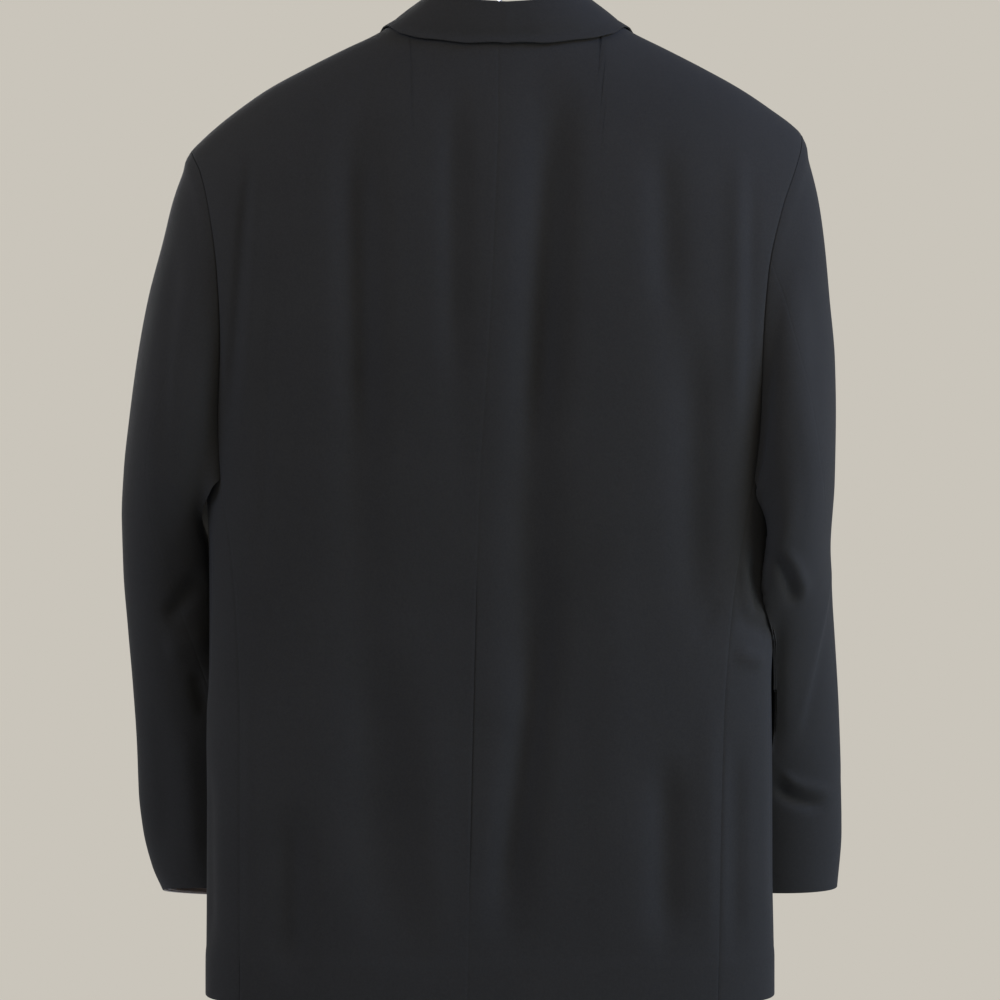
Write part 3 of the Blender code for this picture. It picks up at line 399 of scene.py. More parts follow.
BACK_CREASES = table(
    CREASE_COLUMNS,
    # beside the left armhole, a deep groove with a ridge inside it
    (0.2040, -0.150, 0.2235, -0.425, 0.0045, 0.0032, 0.002),
    (0.1940, -0.170, 0.2120, -0.430, 0.0070, -0.0022, 0.002),
    (0.1840, -0.240, 0.1960, -0.560, 0.0050, 0.0010, 0.001),
    # beside the right armhole
    (-0.1960, -0.150, -0.1930, -0.430, 0.0100, -0.0026),
    (-0.2050, -0.170, -0.2000, -0.430, 0.0060, 0.0020),
    # long soft ones: the two beside the centre, then the weaker ones
    (0.1180, -0.090, 0.1130, -0.560, 0.0170, 0.0034),
    (0.1150, -0.330, 0.1080, -0.860, 0.0200, 0.0022),
    (-0.0330, -0.060, -0.0200, -0.620, 0.0180, 0.0046),
    (-0.0340, -0.480, -0.0060, -0.860, 0.0170, 0.0034),
    (0.0380, -0.090, 0.0340, -0.470, 0.0120, 0.0014),
    (-0.1320, -0.120, -0.1520, -0.600, 0.0160, 0.0016),
    (-0.1340, -0.640, -0.1340, -0.860, 0.0120, 0.0014),
    (0.1690, -0.660, 0.1690, -0.880, 0.0140, 0.0012),
    (0.0600, -0.600, 0.0480, -0.850, 0.0160, -0.0012),
    (-0.0950, -0.400, -0.0900, -0.850, 0.0200, -0.0014),
    (0.2000, -0.560, 0.2060, -0.860, 0.0100, -0.0014),
    (-0.1700, -0.600, -0.1720, -0.850, 0.0120, -0.0016),
    # above the right hip
    (-0.1800, -0.540, -0.1560, -0.575, 0.0060, 0.0012),
)

SIDE_CREASES = {
    1: table(
        CREASE_COLUMNS,
        (0.030, -0.470, 0.050, -0.640, 0.0100, 0.0030),
        (0.075, -0.480, 0.085, -0.600, 0.0100, 0.0028),
        (0.040, -0.660, 0.036, -0.850, 0.0120, 0.0035),
        (0.090, -0.640, 0.080, -0.860, 0.0120, 0.0030),
    ),
    -1: table(
        CREASE_COLUMNS,
        (0.012, -0.500, 0.030, -0.560, 0.0050, 0.0030, 0.002),
        (0.004, -0.505, 0.020, -0.560, 0.0040, -0.0025, 0.002),
        (0.004, -0.556, 0.046, -0.572, 0.0080, 0.0028),
        (0.004, -0.585, 0.040, -0.595, 0.0070, -0.0028),
        (0.012, -0.640, 0.016, -0.850, 0.0070, 0.0028),
        (0.060, -0.560, 0.064, -0.840, 0.0120, 0.0030),
    ),
}

FRONT_CREASES = {
    1: table(
        CREASE_COLUMNS,
        (0.150, -0.170, 0.160, -0.440, 0.0130, 0.0045),
        (0.180, -0.160, 0.196, -0.420, 0.0080, -0.0025),
        (0.110, -0.300, 0.070, -0.480, 0.0150, 0.0030),
        (0.050, -0.490, 0.130, -0.530, 0.0070, -0.0014, 0.002),
        (0.060, -0.585, 0.130, -0.560, 0.0080, -0.0012),
        (0.090, -0.660, 0.080, -0.860, 0.0160, 0.0040),
        (0.140, -0.670, 0.140, -0.860, 0.0120, -0.0026),
    ),
    -1: table(
        CREASE_COLUMNS,
        (-0.140, -0.180, -0.150, -0.430, 0.0140, 0.0040),
        (-0.176, -0.170, -0.188, -0.430, 0.0080, -0.0028),
        (-0.100, -0.320, -0.064, -0.500, 0.0140, 0.0028),
        (-0.052, -0.510, -0.120, -0.560, 0.0080, -0.0014),
        (-0.080, -0.660, -0.084, -0.860, 0.0150, 0.0036),
        (-0.128, -0.660, -0.120, -0.860, 0.0130, -0.0028),
    ),
}

# Creases of the sleeves where they face back, then where they face front
SLEEVE_CREASES = {
    (1, 1): table(
        CREASE_COLUMNS,
        (0.2640, -0.240, 0.2740, -0.460, 0.0080, 0.0022, -0.004),
        (0.2450, -0.5180, 0.2820, -0.5660, 0.0075, 0.0045),
        (0.2400, -0.5780, 0.2850, -0.5860, 0.0120, -0.0030),
        (0.2560, -0.6000, 0.2480, -0.6500, 0.0070, 0.0030),
        (0.2900, -0.620, 0.2840, -0.780, 0.0110, 0.0020),
        (0.2660, -0.640, 0.2600, -0.790, 0.0090, -0.0016),
    ),
    (1, -1): table(
        CREASE_COLUMNS,
        (0.2700, -0.250, 0.2820, -0.440, 0.0090, 0.0026),
        (0.2480, -0.470, 0.3050, -0.500, 0.0080, 0.0036, 0.003),
        (0.2420, -0.520, 0.3000, -0.535, 0.0080, 0.0040),
        (0.2400, -0.560, 0.2960, -0.560, 0.0080, 0.0034, -0.002),
        (0.2620, -0.600, 0.2560, -0.760, 0.0100, 0.0022),
    ),
    (-1, 1): table(
        CREASE_COLUMNS,
        (-0.2180, -0.5000, -0.2450, -0.5520, 0.0050, 0.0040, 0.003),
        (-0.2300, -0.5000, -0.2520, -0.5450, 0.0060, -0.0030, 0.003),
        (-0.2830, -0.5050, -0.2460, -0.6750, 0.0030, -0.0014, 0.002, 0.0034),
        (-0.2290, -0.5450, -0.2300, -0.6850, 0.0060, 0.0026),
        (-0.2330, -0.6900, -0.2860, -0.7080, 0.0045, -0.0030, -0.004),
        (-0.2260, -0.6990, -0.2820, -0.7200, 0.0050, 0.0042, -0.006),
        (-0.2560, -0.260, -0.2600, -0.440, 0.0100, 0.0014),
    ),
    (-1, -1): table(
        CREASE_COLUMNS,
        (-0.2550, -0.250, -0.2640, -0.430, 0.0090, 0.0026),
        (-0.2260, -0.455, -0.2760, -0.480, 0.0070, 0.0034, 0.003),
        (-0.2220, -0.500, -0.2780, -0.510, 0.0080, 0.0040),
        (-0.2200, -0.540, -0.2780, -0.545, 0.0080, 0.0036, -0.002),
        (-0.2400, -0.590, -0.2480, -0.750, 0.0100, 0.0024),
    ),
}


# Small mathematics


def curve(x, y, at):
    """A monotone cubic through the points, which rises and falls only where they do."""
    step = np.diff(x)
    slope = np.diff(y) / step
    near, far = slope[:-1], slope[1:]
    turns = near * far <= 0
    safe_near = np.where(turns, 1.0, near)
    safe_far = np.where(turns, 1.0, far)
    weight_near = 2 * step[1:] + step[:-1]
    weight_far = step[1:] + 2 * step[:-1]
    mean = (weight_near + weight_far) / (weight_near / safe_near + weight_far / safe_far)
    tangent = np.concatenate([slope[:1], np.where(turns, 0.0, mean), slope[-1:]])
    at = np.clip(at, x[0], x[-1])
    i = np.clip(np.searchsorted(x, at, side="right") - 1, 0, len(x) - 2)
    u = (at - x[i]) / step[i]
    start = (1 + 2 * u) * (1 - u) ** 2 * y[i] + u * (1 - u) ** 2 * step[i] * tangent[i]
    end = u * u * (3 - 2 * u) * y[i + 1] + u * u * (u - 1) * step[i] * tangent[i + 1]
    return start + end


def read(rows, name, at, key="z"):
    """A column of a table at these places of its key column."""
    return curve(rows[key], rows[name], at)


def ease(value):
    """0 below 0, 1 above 1, and a smooth rise between."""
    value = np.clip(value, 0, 1)
    return value * value * (3 - 2 * value)


def mix(a, b, share):
    return a + (b - a) * share


def unit(vectors):
    return vectors / np.maximum(np.linalg.norm(vectors, axis=-1, keepdims=True), 1e-12)


def points(x, y, z):
    return np.stack(np.broadcast_arrays(x, y, z), axis=-1)


def side_name(side):
    return "left" if side > 0 else "right"


# The CAD surface


def ridge_z(x):
    return curve(SHOULDER["x"], SHOULDER["z"], x)


def ridge_y(x):
    """The shoulder line bends forward towards its ends, as the hanger does."""
    return -0.002 - 0.2 * x**2


def squareness(face):
    return BACK_SQUARE if face > 0 else FRONT_SQUARE


def spread(x, z):
    """How far out on its ring a point is: 0 in the middle, 1 at the side."""
    return np.clip(np.abs(x - read(BODY, "x_mid", z)) / read(BODY, "half", z), 0, 1)


def hem_z(x, face):
    if face > 0:
        return HEM_Z + 0 * x
    return HEM_Z - FRONT_HEM_DROP * (1 - spread(x, HEM_Z) ** 2)


def height(x, level, face):
    """level: 0 at the hem, 1 at the armpit, 2 on the ridge of the shoulder."""
    low = mix(hem_z(x, face), ARMPIT_Z, np.clip(level, 0, 1))
    turn = (np.clip(level, 1, 2) - 1) * math.pi / 2
    high = mix(ARMPIT_Z, ridge_z(x), np.sin(turn) ** (2 / CROWN))
    return np.where(level <= 1, low, high)


def level_at(x, z, face):
    """The level of the point at this x and z."""
    low = (z - hem_z(x, face)) / (ARMPIT_Z - hem_z(x, face))
    rise = np.clip((z - ARMPIT_Z) / (ridge_z(x) - ARMPIT_Z), 0, 1)
    high = 1 + np.arcsin(rise ** (CROWN / 2)) / (math.pi / 2)
    return np.where(z <= ARMPIT_Z, low, high)


def folds(rows, x, z):
    """Soft troughs, each a slanting line with a width, fading at both ends."""
    total = np.zeros(np.broadcast(x, z).shape)
    for i in range(len(rows["depth"])):
        down = (rows["z_top"][i] - z) / (rows["z_top"][i] - rows["z_low"][i])
        middle = mix(rows["x_top"][i], rows["x_low"][i], down)
        fade = ease(down / CREASE_END) * ease((1 - down) / CREASE_END)
        total += rows["depth"][i] * fade * np.exp(-(((x - middle) / rows["width"][i]) ** 2))
    return total


def body_point(x, level, face):
    """A point of the back (face 1) or the front (face -1)."""
    z = height(x, level, face)
    out = spread(x, z)
    square = squareness(face)
    full = read(BODY, "back" if face > 0 else "front", z)
    full = face * full * (1 - out**square) ** (1 / square)
    turn = (np.clip(level, 1, 2) - 1) * math.pi / 2
    y = mix(ridge_y(x), full, np.cos(turn) ** (2 / CROWN))
    y = np.where(level <= 1, full, y)
    if face > 0:
        y = y - folds(BACK_FOLDS, x, z) * ease((1 - out) / 0.15)
    return points(x, y, z)


def slope_normal(surface, u, v, facing):
    """The outward normal of surface(u, v), from small steps along it."""
    step = 1e-4
    along = surface(u + step, v) - surface(u - step, v)
    up = surface(u, v + step) - surface(u, v - step)
    return facing * unit(np.cross(up, along))


def centre_front(z):
    return 2 * read(BODY, "x_mid", z) - read(CENTRE, "x", z)


def tuck(x, z):
    """How far the right front lies in, under the left one."""
    start = centre_front(z) - OVERLAP - TUCK_RAMP
    return TUCK * ease((x - start) / TUCK_RAMP)


def front_point(side, x, level):
    """A point of a front, the right one tucked in under the left one."""
    spot = body_point(x, level, -1)
    if side < 0:
        spot = spot + points(0, tuck(x, spot[..., 2]), 0)
    return spot


def settle(x, level, face, rule):
    """The x that a rule in z gives at this level, found by going round."""
    for _ in range(SETTLE_ROUNDS):
        x = rule(height(x, level, face))
    return x


def panel_edge(rows, side, level, face):
    """x of a panel's side edge at this level."""
    first = np.full(np.shape(level), PANEL_HALF * side)
    return settle(first, level, face, lambda z: read(rows, side_name(side), z))


def neck_x(side):
    return NECK_X + side * NECK_HALF_WIDTH


def neckline_level(x):
    """Where the back panels end under the collar, at this x."""
    out = np.clip(np.abs(x - NECK_X) / NECK_HALF_WIDTH, 0, 1)
    z_end = ridge_z(NECK_X + np.sign(x - NECK_X) * NECK_HALF_WIDTH)
    z = mix(z_end, NECK_BACK_Z, np.sqrt(1 - out**2))
    return np.where(out >= 1, 2.0, level_at(x, z, 1))


def roll_x(side, z):
    """The lapel's roll line, straight from the break to the neck."""
    low = centre_front(BREAK_Z) - side * OVERLAP
    z_neck = ridge_z(neck_x(side))
    return mix(low, neck_x(side), (z - BREAK_Z) / (z_neck - BREAK_Z))


def closure_x(side, z):
    """The front edge: rounded away below, overlapping at the buttons, rolled above."""
    down = np.clip((QUARTER_Z - z) / (QUARTER_Z - HEM_Z + FRONT_HEM_DROP), 0, 1)
    cut = QUARTER_CUT * (1 - np.sqrt(1 - (0.985 * down) ** 2))
    straight = centre_front(z) - side * OVERLAP + side * cut
    return np.where(z > BREAK_Z, roll_x(side, z), straight)


def grid_normals(grid, closed=False):
    """Normals of a grid from its neighbours; the sign is the caller's."""
    if closed:
        across = np.roll(grid, -1, axis=1) - np.roll(grid, 1, axis=1)
    else:
        across = np.gradient(grid, axis=1)
    return unit(np.cross(np.gradient(grid, axis=0), across))


def side_point(side, turn, level):
    """A point of the side panel. turn: 0 at the middle of the back, pi at the front."""
    behind = turn < math.pi / 2
    square = np.where(behind, BACK_SQUARE, FRONT_SQUARE)
    out = np.abs(np.sin(turn)) ** (2 / square)
    hem = HEM_Z - np.where(behind, 0, FRONT_HEM_DROP) * (1 - out**2)
    z = mix(hem, ARMPIT_Z, level)
    x = read(BODY, "x_mid", z) + side * read(BODY, "half", z) * out
    depth = np.where(behind, read(BODY, "back", z), -read(BODY, "front", z))
    return points(x, depth * np.abs(np.cos(turn)) ** (2 / square), z)


def ring_angles(ring):
    """Angle of each point round the ring, by its distance along it from the top."""
    length = np.linalg.norm(np.roll(ring, -1, axis=0) - ring, axis=1)
    return 2 * math.pi * np.concatenate([[0], np.cumsum(length)[:-1]]) / length.sum()


def sleeve_rows(side, ring, bottom):
    """The section table with the armhole as its first row, and its length from there."""
    bottom = ring[bottom]
    behind, before = ring[:, 1].max(), ring[:, 1].min()
    first = {
        "outer_x": ring[0, 0],
        "outer_z": ring[0, 2],
        "inner_x": bottom[0],
        "inner_z": bottom[2],
        "y_mid": (behind + before) / 2,
        "y_half": (behind - before) / 2,
    }
    rows = {
        name: np.concatenate([[first.get(name, 0.0)], column])
        for name, column in SLEEVE[side].items()
    }
    steps = np.hypot(np.diff(rows["outer_x"]), np.diff(rows["outer_z"]))
    rows["at"] = np.concatenate([[0], np.cumsum(steps)])
    return rows


def clear_of_body(spots, fade):
    """Presses the sleeve's wall off the body's rings, below the armpit."""
    x, y, z = spots[..., 0], spots[..., 1], spots[..., 2]
    mid = read(BODY, "x_mid", z)
    half = read(BODY, "half", z) + SLEEVE_CLEARANCE
    behind = y > 0
    deep = np.where(behind, read(BODY, "back", z), read(BODY, "front", z)) + SLEEVE_CLEARANCE
    square = np.where(behind, BACK_SQUARE, FRONT_SQUARE)
    reach = (np.abs((x - mid) / half) ** square + np.abs(y / deep) ** square) ** (1 / square)
    push = np.maximum(1, 1 / np.maximum(reach, 0.3))
    push = 1 + (push - 1) * ease((ARMPIT_Z - z) / 0.016) * fade
    return points(mid + (x - mid) * push, y * push, z)


def sleeve_grid(side, stretch, ring, bottom):
    """Rows of rings down the sleeve, at these distances from the armhole."""
    rows = sleeve_rows(side, ring, bottom)
    angle = ring_angles(ring)[None, :]

    def column(name):
        return read(rows, name, stretch, key="at")[:, None]

    def frame(pick):
        top = points(pick("outer_x"), 0, pick("outer_z"))
        low = points(pick("inner_x"), 0, pick("inner_z"))
        return (top + low) / 2 + points(0, pick("y_mid"), 0), (top - low) / 2

    def square_to(way):
        return points(way[..., 2], 0, -way[..., 0])

    def first(name):
        return rows[name][:1, None]

    middle, half = frame(column)
    start_middle, start_half = frame(first)
    start_along = unit(start_half)
    away = ring[None] - start_middle
    reach = np.linalg.norm(start_half, axis=-1)
    ring_out = (away * start_along).sum(-1) / reach
    ring_back = away[..., 1] / first("y_half")
    ring_off = (away * square_to(start_along)).sum(-1)

    turn = angle + np.radians(column("twist"))
    power = mix(SLEEVE_SQUARE[side], CUFF_SQUARE, ease(stretch / SQUARE_LENGTH))[:, None]
    out, back = np.cos(turn), np.sin(turn)
    full = (np.abs(out) ** power + np.abs(back) ** power) ** (1 / power)
    full = np.where(out < 0, full, 1.0)
    out, back = out / full, back / full
    slant = column("slant")
    back = slant * out + np.sqrt(1 - slant**2) * back
    blend = ease(stretch / rows["at"][6])[:, None]
    out = mix(ring_out, out, blend)
    back = mix(ring_back, back, blend)
    off = square_to(unit(half)) * (ring_off * (1 - blend))[..., None]
    spots = middle + half * out[..., None] + off
    depth = column("y_half") * back
    spots = spots + points(0, depth, column("tilt") * depth)
    return clear_of_body(spots, ease(stretch / 0.03)[:, None])


def keep_off(spot, gap):
    """Moves a point square to the body's outline, to at least this far outside it."""
    line = body_profile(spot[0])
    start, step = line[:-1], np.diff(line, axis=0)
    share = ((spot[1:] - start) * step).sum(1) / (step**2).sum(1)
    foot = start + np.clip(share, 0, 1)[:, None] * step
    near = np.argmin(np.linalg.norm(foot - spot[1:], axis=1))
    away = unit(np.array([-step[near][1], step[near][0]]))
    short = gap - (spot[1:] - foot[near]) @ away
    moved = spot.copy()
    moved[1:] += max(short, 0) * away
    return moved


def collar_edge(side, at):
    """The outer edge of the fall, lying on the body."""
    x = NECK_X + side * read(COLLAR, "edge_x", at, key="at")
    rows = []
    for edge_x, edge_z, face in zip(COLLAR["edge_x"], COLLAR["edge_z"], COLLAR["face"]):
        level = float(level_at(NECK_X + side * edge_x, edge_z, 1 if face >= 0 else -1))
        rows.append(2.0 if face == 0 else level if face > 0 else 4 - level)
    over = curve(COLLAR["at"], np.array(rows), at)
    facing = np.where(over <= 2, 1, -1)
    level = np.minimum(over, 4 - over)
    behind, before = body_point(x, level, 1), body_point(x, level, -1)
    return np.where(facing[:, None] > 0, behind, before)


def collar_frame(side, at):
    """Fold points of the collar with two directions square to it: away and over."""

    def fold_at(place):
        x = NECK_X + side * read(COLLAR, "fold_x", place, key="at")
        y = read(COLLAR, "fold_y", place, key="at")
        return points(x, y, read(COLLAR, "fold_z", place, key="at"))

    fold = fold_at(at)
    along = unit(fold_at(np.minimum(at + 0.02, 2)) - fold_at(np.maximum(at - 0.02, 0)))
    along[at < 0.02] = (side, 0, 0)
    out = points(fold[:, 0] - NECK_X, fold[:, 1] + 0.010, 0)
    away = unit(out - (out * along).sum(-1, keepdims=True) * along)
    over = unit(np.cross(along, away)) * side
    return fold, away, over


def crest(frame, degrees):
    """A point round the fold: 0 outside, 90 on top, 180 inside."""
    fold, away, over = frame
    turn = math.radians(degrees)
    return fold + FOLD_RADIUS * (away * math.cos(turn) + over * (math.sin(turn) - 1))


def spaced(length, step, start=(), end=()):
    """Shares from 0 to 1 in even steps, with closer ones beside an end."""
    first = start[-1] if start else 0.0
    last = length - (end[-1] if end else 0.0)
    count = max(2, round((last - first) / step))
    near = [0.0, *start[:-1]] if start else []
    far = [*(length - np.array(end[:-1][::-1])), length] if end else []
    return np.array([*near, *np.linspace(first, last, count + 1), *far]) / length


def creases(rows, x, z):
    """Depth of soft troughs, ridges and steps along short bowed lines."""
    total = np.zeros(np.broadcast(x, z).shape)
    for i in range(len(rows["depth"])):
        run = rows["x_to"][i] - rows["x_from"][i]
        fall = rows["z_to"][i] - rows["z_from"][i]
        length = math.hypot(run, fall)
        away_x, away_z = x - rows["x_from"][i], z - rows["z_from"][i]
        along = (away_x * run + away_z * fall) / length**2
        off = (away_x * fall - away_z * run) / length - 4 * rows["bow"][i] * along * (1 - along)
        fade = ease(along / CREASE_END) * ease((1 - along) / CREASE_END)
        near = off / rows["width"][i]
        total += fade * rows["depth"][i] * np.exp(-(near**2))
        total += fade * rows["step"][i] * 0.5 * (1 + np.tanh(near)) * np.exp(-((near / 5) ** 2))
    return total


# Making pieces


def edge_distance(grid, axis, last):
    """Distance of every point of a grid from its first or last row or column."""
    steps = np.linalg.norm(np.diff(grid, axis=axis), axis=-1)
    start = np.zeros_like(np.take(steps, [0], axis=axis))
    run = np.concatenate([start, np.cumsum(steps, axis=axis)], axis=axis)
    return np.take(run, [-1], axis=axis) - run if last else run


def sink_edges(face, normal, edges, depth=SEAM_DEPTH):
    """Rolls sewn edges in a little, so that two pieces meet in a narrow groove."""
    drop = np.zeros(face.shape[:2])
    for axis, last in edges:
        near = edge_distance(face, axis, last) / SEAM_WIDTH
        drop = np.maximum(drop, depth * np.exp(-(near**2)))
    return face - drop[..., None] * normal


def round_edges(face, back, edges):
    """Brings the two sides of a free edge together in a half round."""
    face, back = face.copy(), back.copy()
    thick = np.linalg.norm(face - back, axis=-1)
    for axis, last in edges:
        away = np.clip(edge_distance(face, axis, last) / (thick / 2), 0, 1)
        drop = 0.46 * thick * (1 - np.sqrt(np.clip(1 - (1 - away) ** 2, 0, 1)))
        move = (drop / np.maximum(thick, 1e-9))[..., None] * (back - face)
        face, back = face + move, back - move
    return face, back


def grid_faces(rows, columns, offset, closed, flip):
    spans = columns if closed else columns - 1
    r, c = np.meshgrid(np.arange(rows - 1), np.arange(spans), indexing="ij")
    d = (c + 1) % columns
    corners = [r * columns + c, r * columns + d, (r + 1) * columns + d, (r + 1) * columns + c]
    faces = np.stack([corner.ravel() + offset for corner in corners], axis=1)
    return faces[:, ::-1] if flip else faces


def rim_faces(line, offset, flip, closed):
    """Faces that join a line of one grid's points to the other grid's."""
    if closed:
        line = np.append(line, line[0])
    faces = np.stack([line[:-1], line[:-1] + offset, line[1:] + offset, line[1:]], axis=1)
    return faces[:, ::-1] if flip else faces


def shell(name, face, back, materials, closed=False, lined_from=0):
    """A thin closed shell between two grids, its inner side lined from one of its rows down."""
    rows, columns = face.shape[:2]
    count = rows * columns
    index = np.arange(count).reshape(rows, columns)
    outer = grid_faces(rows, columns, 0, closed, False)
    inner = grid_faces(rows, columns, count, closed, True)
    rims = [
        rim_faces(index[0], count, False, closed),
        rim_faces(index[-1], count, True, closed),
    ]
    if not closed:
        rims += [
            rim_faces(index[:, 0], count, True, False),
            rim_faces(index[:, -1], count, False, False),
        ]
    faces = np.concatenate([outer, inner, *rims])
    spots = np.concatenate([face.reshape(-1, 3), back.reshape(-1, 3)])
    a, b, c, d = (spots[faces[:, k]] for k in range(4))
    volume = (np.cross(b - a, c - a) * a).sum() + (np.cross(c - a, d - a) * a).sum()
    if volume < 0:
        faces = faces[:, ::-1]
    mesh = bpy.data.meshes.new(name)
    mesh.vertices.add(len(spots))
    mesh.vertices.foreach_set("co", spots.astype(np.float32).ravel())
    mesh.loops.add(faces.size)
    mesh.loops.foreach_set("vertex_index", faces.astype(np.int32).ravel())
    mesh.polygons.add(len(faces))
    mesh.polygons.foreach_set("loop_start", np.arange(0, faces.size, 4, dtype=np.int32))
    slots = np.zeros(len(faces), np.int32)
    if len(materials) > 1:
        lined = np.repeat(np.arange(rows - 1) >= lined_from, len(inner) // (rows - 1))
        slots[len(outer) : len(outer) + len(inner)] = lined
    mesh.polygons.foreach_set("material_index", slots)
    mesh.update(calc_edges=True)
    mesh.validate()
    across = edge_distance(face, 1, False) if not closed else ring_distance(face)
    along = edge_distance(face, 0, False)
    grain = np.stack([across.ravel(), along.ravel()], axis=1)
    grain = np.concatenate([grain, grain])
    layer = mesh.uv_layers.new(name="grain")
    layer.data.foreach_set("uv", grain[faces.ravel()].astype(np.float32).ravel())
    for material in materials:
        mesh.materials.append(material)
    mesh.shade_smooth()
    mesh.set_sharp_from_angle(angle=math.radians(50))
    return link(name, mesh)


def ring_distance(face):
    """Distance of every point of a closed grid round its ring."""
    step = np.linalg.norm(np.roll(face, -1, axis=1) - face, axis=-1)
    return np.cumsum(step, axis=1) - step


def dress(item, node):
    """Puts a piece in its CAD node's place."""
    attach(item, "root")
    if node:
        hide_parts(node)


def cloth_piece(node, face, back, materials, rests_on, slot="cloth", **form):
    """A shell in its CAD node's place."""
    item = shell(f"cloth_{node}", face, back, materials, **form)
    dress(item, node)


# Materials


def new_material(name, roughness, metallic=0.0, sheen=0.0, sheen_tint=(1, 1, 1), coat=0.0):
    """A principled material, with its node tree and its shader."""
    material = bpy.data.materials.new(name)
    material.use_nodes = True
    shader = material.node_tree.nodes["Principled BSDF"]
    values = {
        "Roughness": roughness,
        "Metallic": metallic,
        "Sheen Weight": sheen,
        "Sheen Roughness": SHEEN_ROUGHNESS,
        "Sheen Tint": (*sheen_tint, 1.0),
        "Coat Weight": coat,
    }
    for socket, value in values.items():
        shader.inputs[socket].default_value = value
    return material, material.node_tree, shader


def noise(tree, coordinates, scale, detail=2.0, roughness=0.5):
    node = tree.nodes.new("ShaderNodeTexNoise")
    node.inputs["Scale"].default_value = scale
    node.inputs["Detail"].default_value = detail
    node.inputs["Roughness"].default_value = roughness
    tree.links.new(coordinates, node.inputs["Vector"])
    return node.outputs["Fac"]


def bands(tree, coordinates, pitch, turn, distortion=0.0):
    """Stripes of this pitch in metres, turned by this angle in the plane of the cloth."""
    mapping = tree.nodes.new("ShaderNodeMapping")
    mapping.inputs["Rotation"].default_value = (0, 0, turn)
    tree.links.new(coordinates, mapping.inputs["Vector"])
    wave = tree.nodes.new("ShaderNodeTexWave")
    wave.wave_type = "BANDS"
    wave.bands_direction = "X"
    wave.inputs["Scale"].default_value = 2 * math.pi / (20 * pitch)
    wave.inputs["Distortion"].default_value = distortion
    tree.links.new(mapping.outputs["Vector"], wave.inputs["Vector"])
    return wave.outputs["Fac"]


def calculate(tree, operation, *values):
    node = tree.nodes.new("ShaderNodeMath")
    node.operation = operation
    for socket, value in zip(node.inputs, values):
        if isinstance(value, (int, float)):
            socket.default_value = value
        else:
            tree.links.new(value, socket)
    return node.outputs["Value"]


def weighted(tree, *parts):
    """The sum of (value, weight) pairs."""
    value, weight = parts[0]
    total = calculate(tree, "MULTIPLY", value, weight)
    for value, weight in parts[1:]:
        total = calculate(tree, "ADD", total, calculate(tree, "MULTIPLY", value, weight))
    return total


def paint(tree, shader, factor, *stops):
    """Colours the shader by a ramp with (place, colour) stops."""
    node = tree.nodes.new("ShaderNodeValToRGB")
    node.color_ramp.elements.remove(node.color_ramp.elements[0])
    node.color_ramp.elements[0].position = stops[0][0]
    node.color_ramp.elements[0].color = (*stops[0][1], 1)
    for place, colour in stops[1:]:
        node.color_ramp.elements.new(place).color = (*colour, 1)
    tree.links.new(factor, node.inputs["Fac"])
    tree.links.new(node.outputs["Color"], shader.inputs["Base Color"])


def roughen(tree, shader, factor, gain, least):
    """Makes the roughness follow a value."""
    rough = calculate(tree, "ADD", calculate(tree, "MULTIPLY", factor, gain), least)
    tree.links.new(rough, shader.inputs["Roughness"])


def bump(tree, shader, height, strength, distance):
    node = tree.nodes.new("ShaderNodeBump")
    node.inputs["Strength"].default_value = strength
    node.inputs["Distance"].default_value = distance
    tree.links.new(height, node.inputs["Height"])
    tree.links.new(node.outputs["Normal"], shader.inputs["Normal"])


def grain_coordinates(tree):
    node = tree.nodes.new("ShaderNodeUVMap")
    node.uv_map = "grain"
    return node.outputs["UV"]


def object_coordinates(tree):
    return tree.nodes.new("ShaderNodeTexCoord").outputs["Object"]


def worsted(name, dark, light):
    """Fine worsted twill: steep ribs crossed by threads, with a little loose fibre."""
    material, tree, shader = new_material(
        name, roughness=0.82, sheen=CLOTH_SHEEN, sheen_tint=SHEEN_TINT
    )
    shader.inputs["Specular IOR Level"].default_value = 0.12
    grain, place = grain_coordinates(tree), object_coordinates(tree)
    ribs = bands(tree, grain, RIB_PITCH, RIB_ANGLE, 0.4)
    picks = bands(tree, grain, PICK_PITCH, 0.0, 0.2)
    weave = calculate(tree, "MULTIPLY", ribs, calculate(tree, "ADD", 0.6, picks))
    fibre = noise(tree, place, 620, 3.0, 0.7)
    cloudy = noise(tree, place, 9, 3.0, 0.55)
    tone = weighted(tree, (weave, 0.30), (fibre, 0.75), (cloudy, 0.30))
    tone = calculate(tree, "MULTIPLY", tone, 0.80)
    paint(tree, shader, tone, (0.25, dark), (0.85, light))
    bump(tree, shader, weighted(tree, (weave, 0.5), (fibre, 1.0)), 0.35, 0.00025)
    return material


def satin(name, dark, light):
    """Thin satin lining, with fine threads and a few soft pulls."""
    material, tree, shader = new_material(name, roughness=0.38, sheen=0.1)
    threads = bands(tree, grain_coordinates(tree), SATIN_PITCH, 0.0, 0.3)
    pulls = noise(tree, object_coordinates(tree), 60, 4.0, 0.6)
    tone = weighted(tree, (threads, 0.35), (pulls, 0.6))
    paint(tree, shader, tone, (0.2, dark), (0.8, light))
    bump(tree, shader, tone, 0.25, 0.0004)
    return material


def horn(name, dark, light):
    """Black button plastic with faint streaks and fine scuffs."""
    material, tree, shader = new_material(name, roughness=0.32, coat=0.15)
    place = object_coordinates(tree)
    streaks = noise(tree, place, 240, 4.0, 0.6)
    paint(tree, shader, streaks, (0.35, dark), (0.75, light))
    roughen(tree, shader, streaks, 0.25, 0.22)
    bump(tree, shader, noise(tree, place, 1500, 2.0), 0.15, 0.0001)
    return material


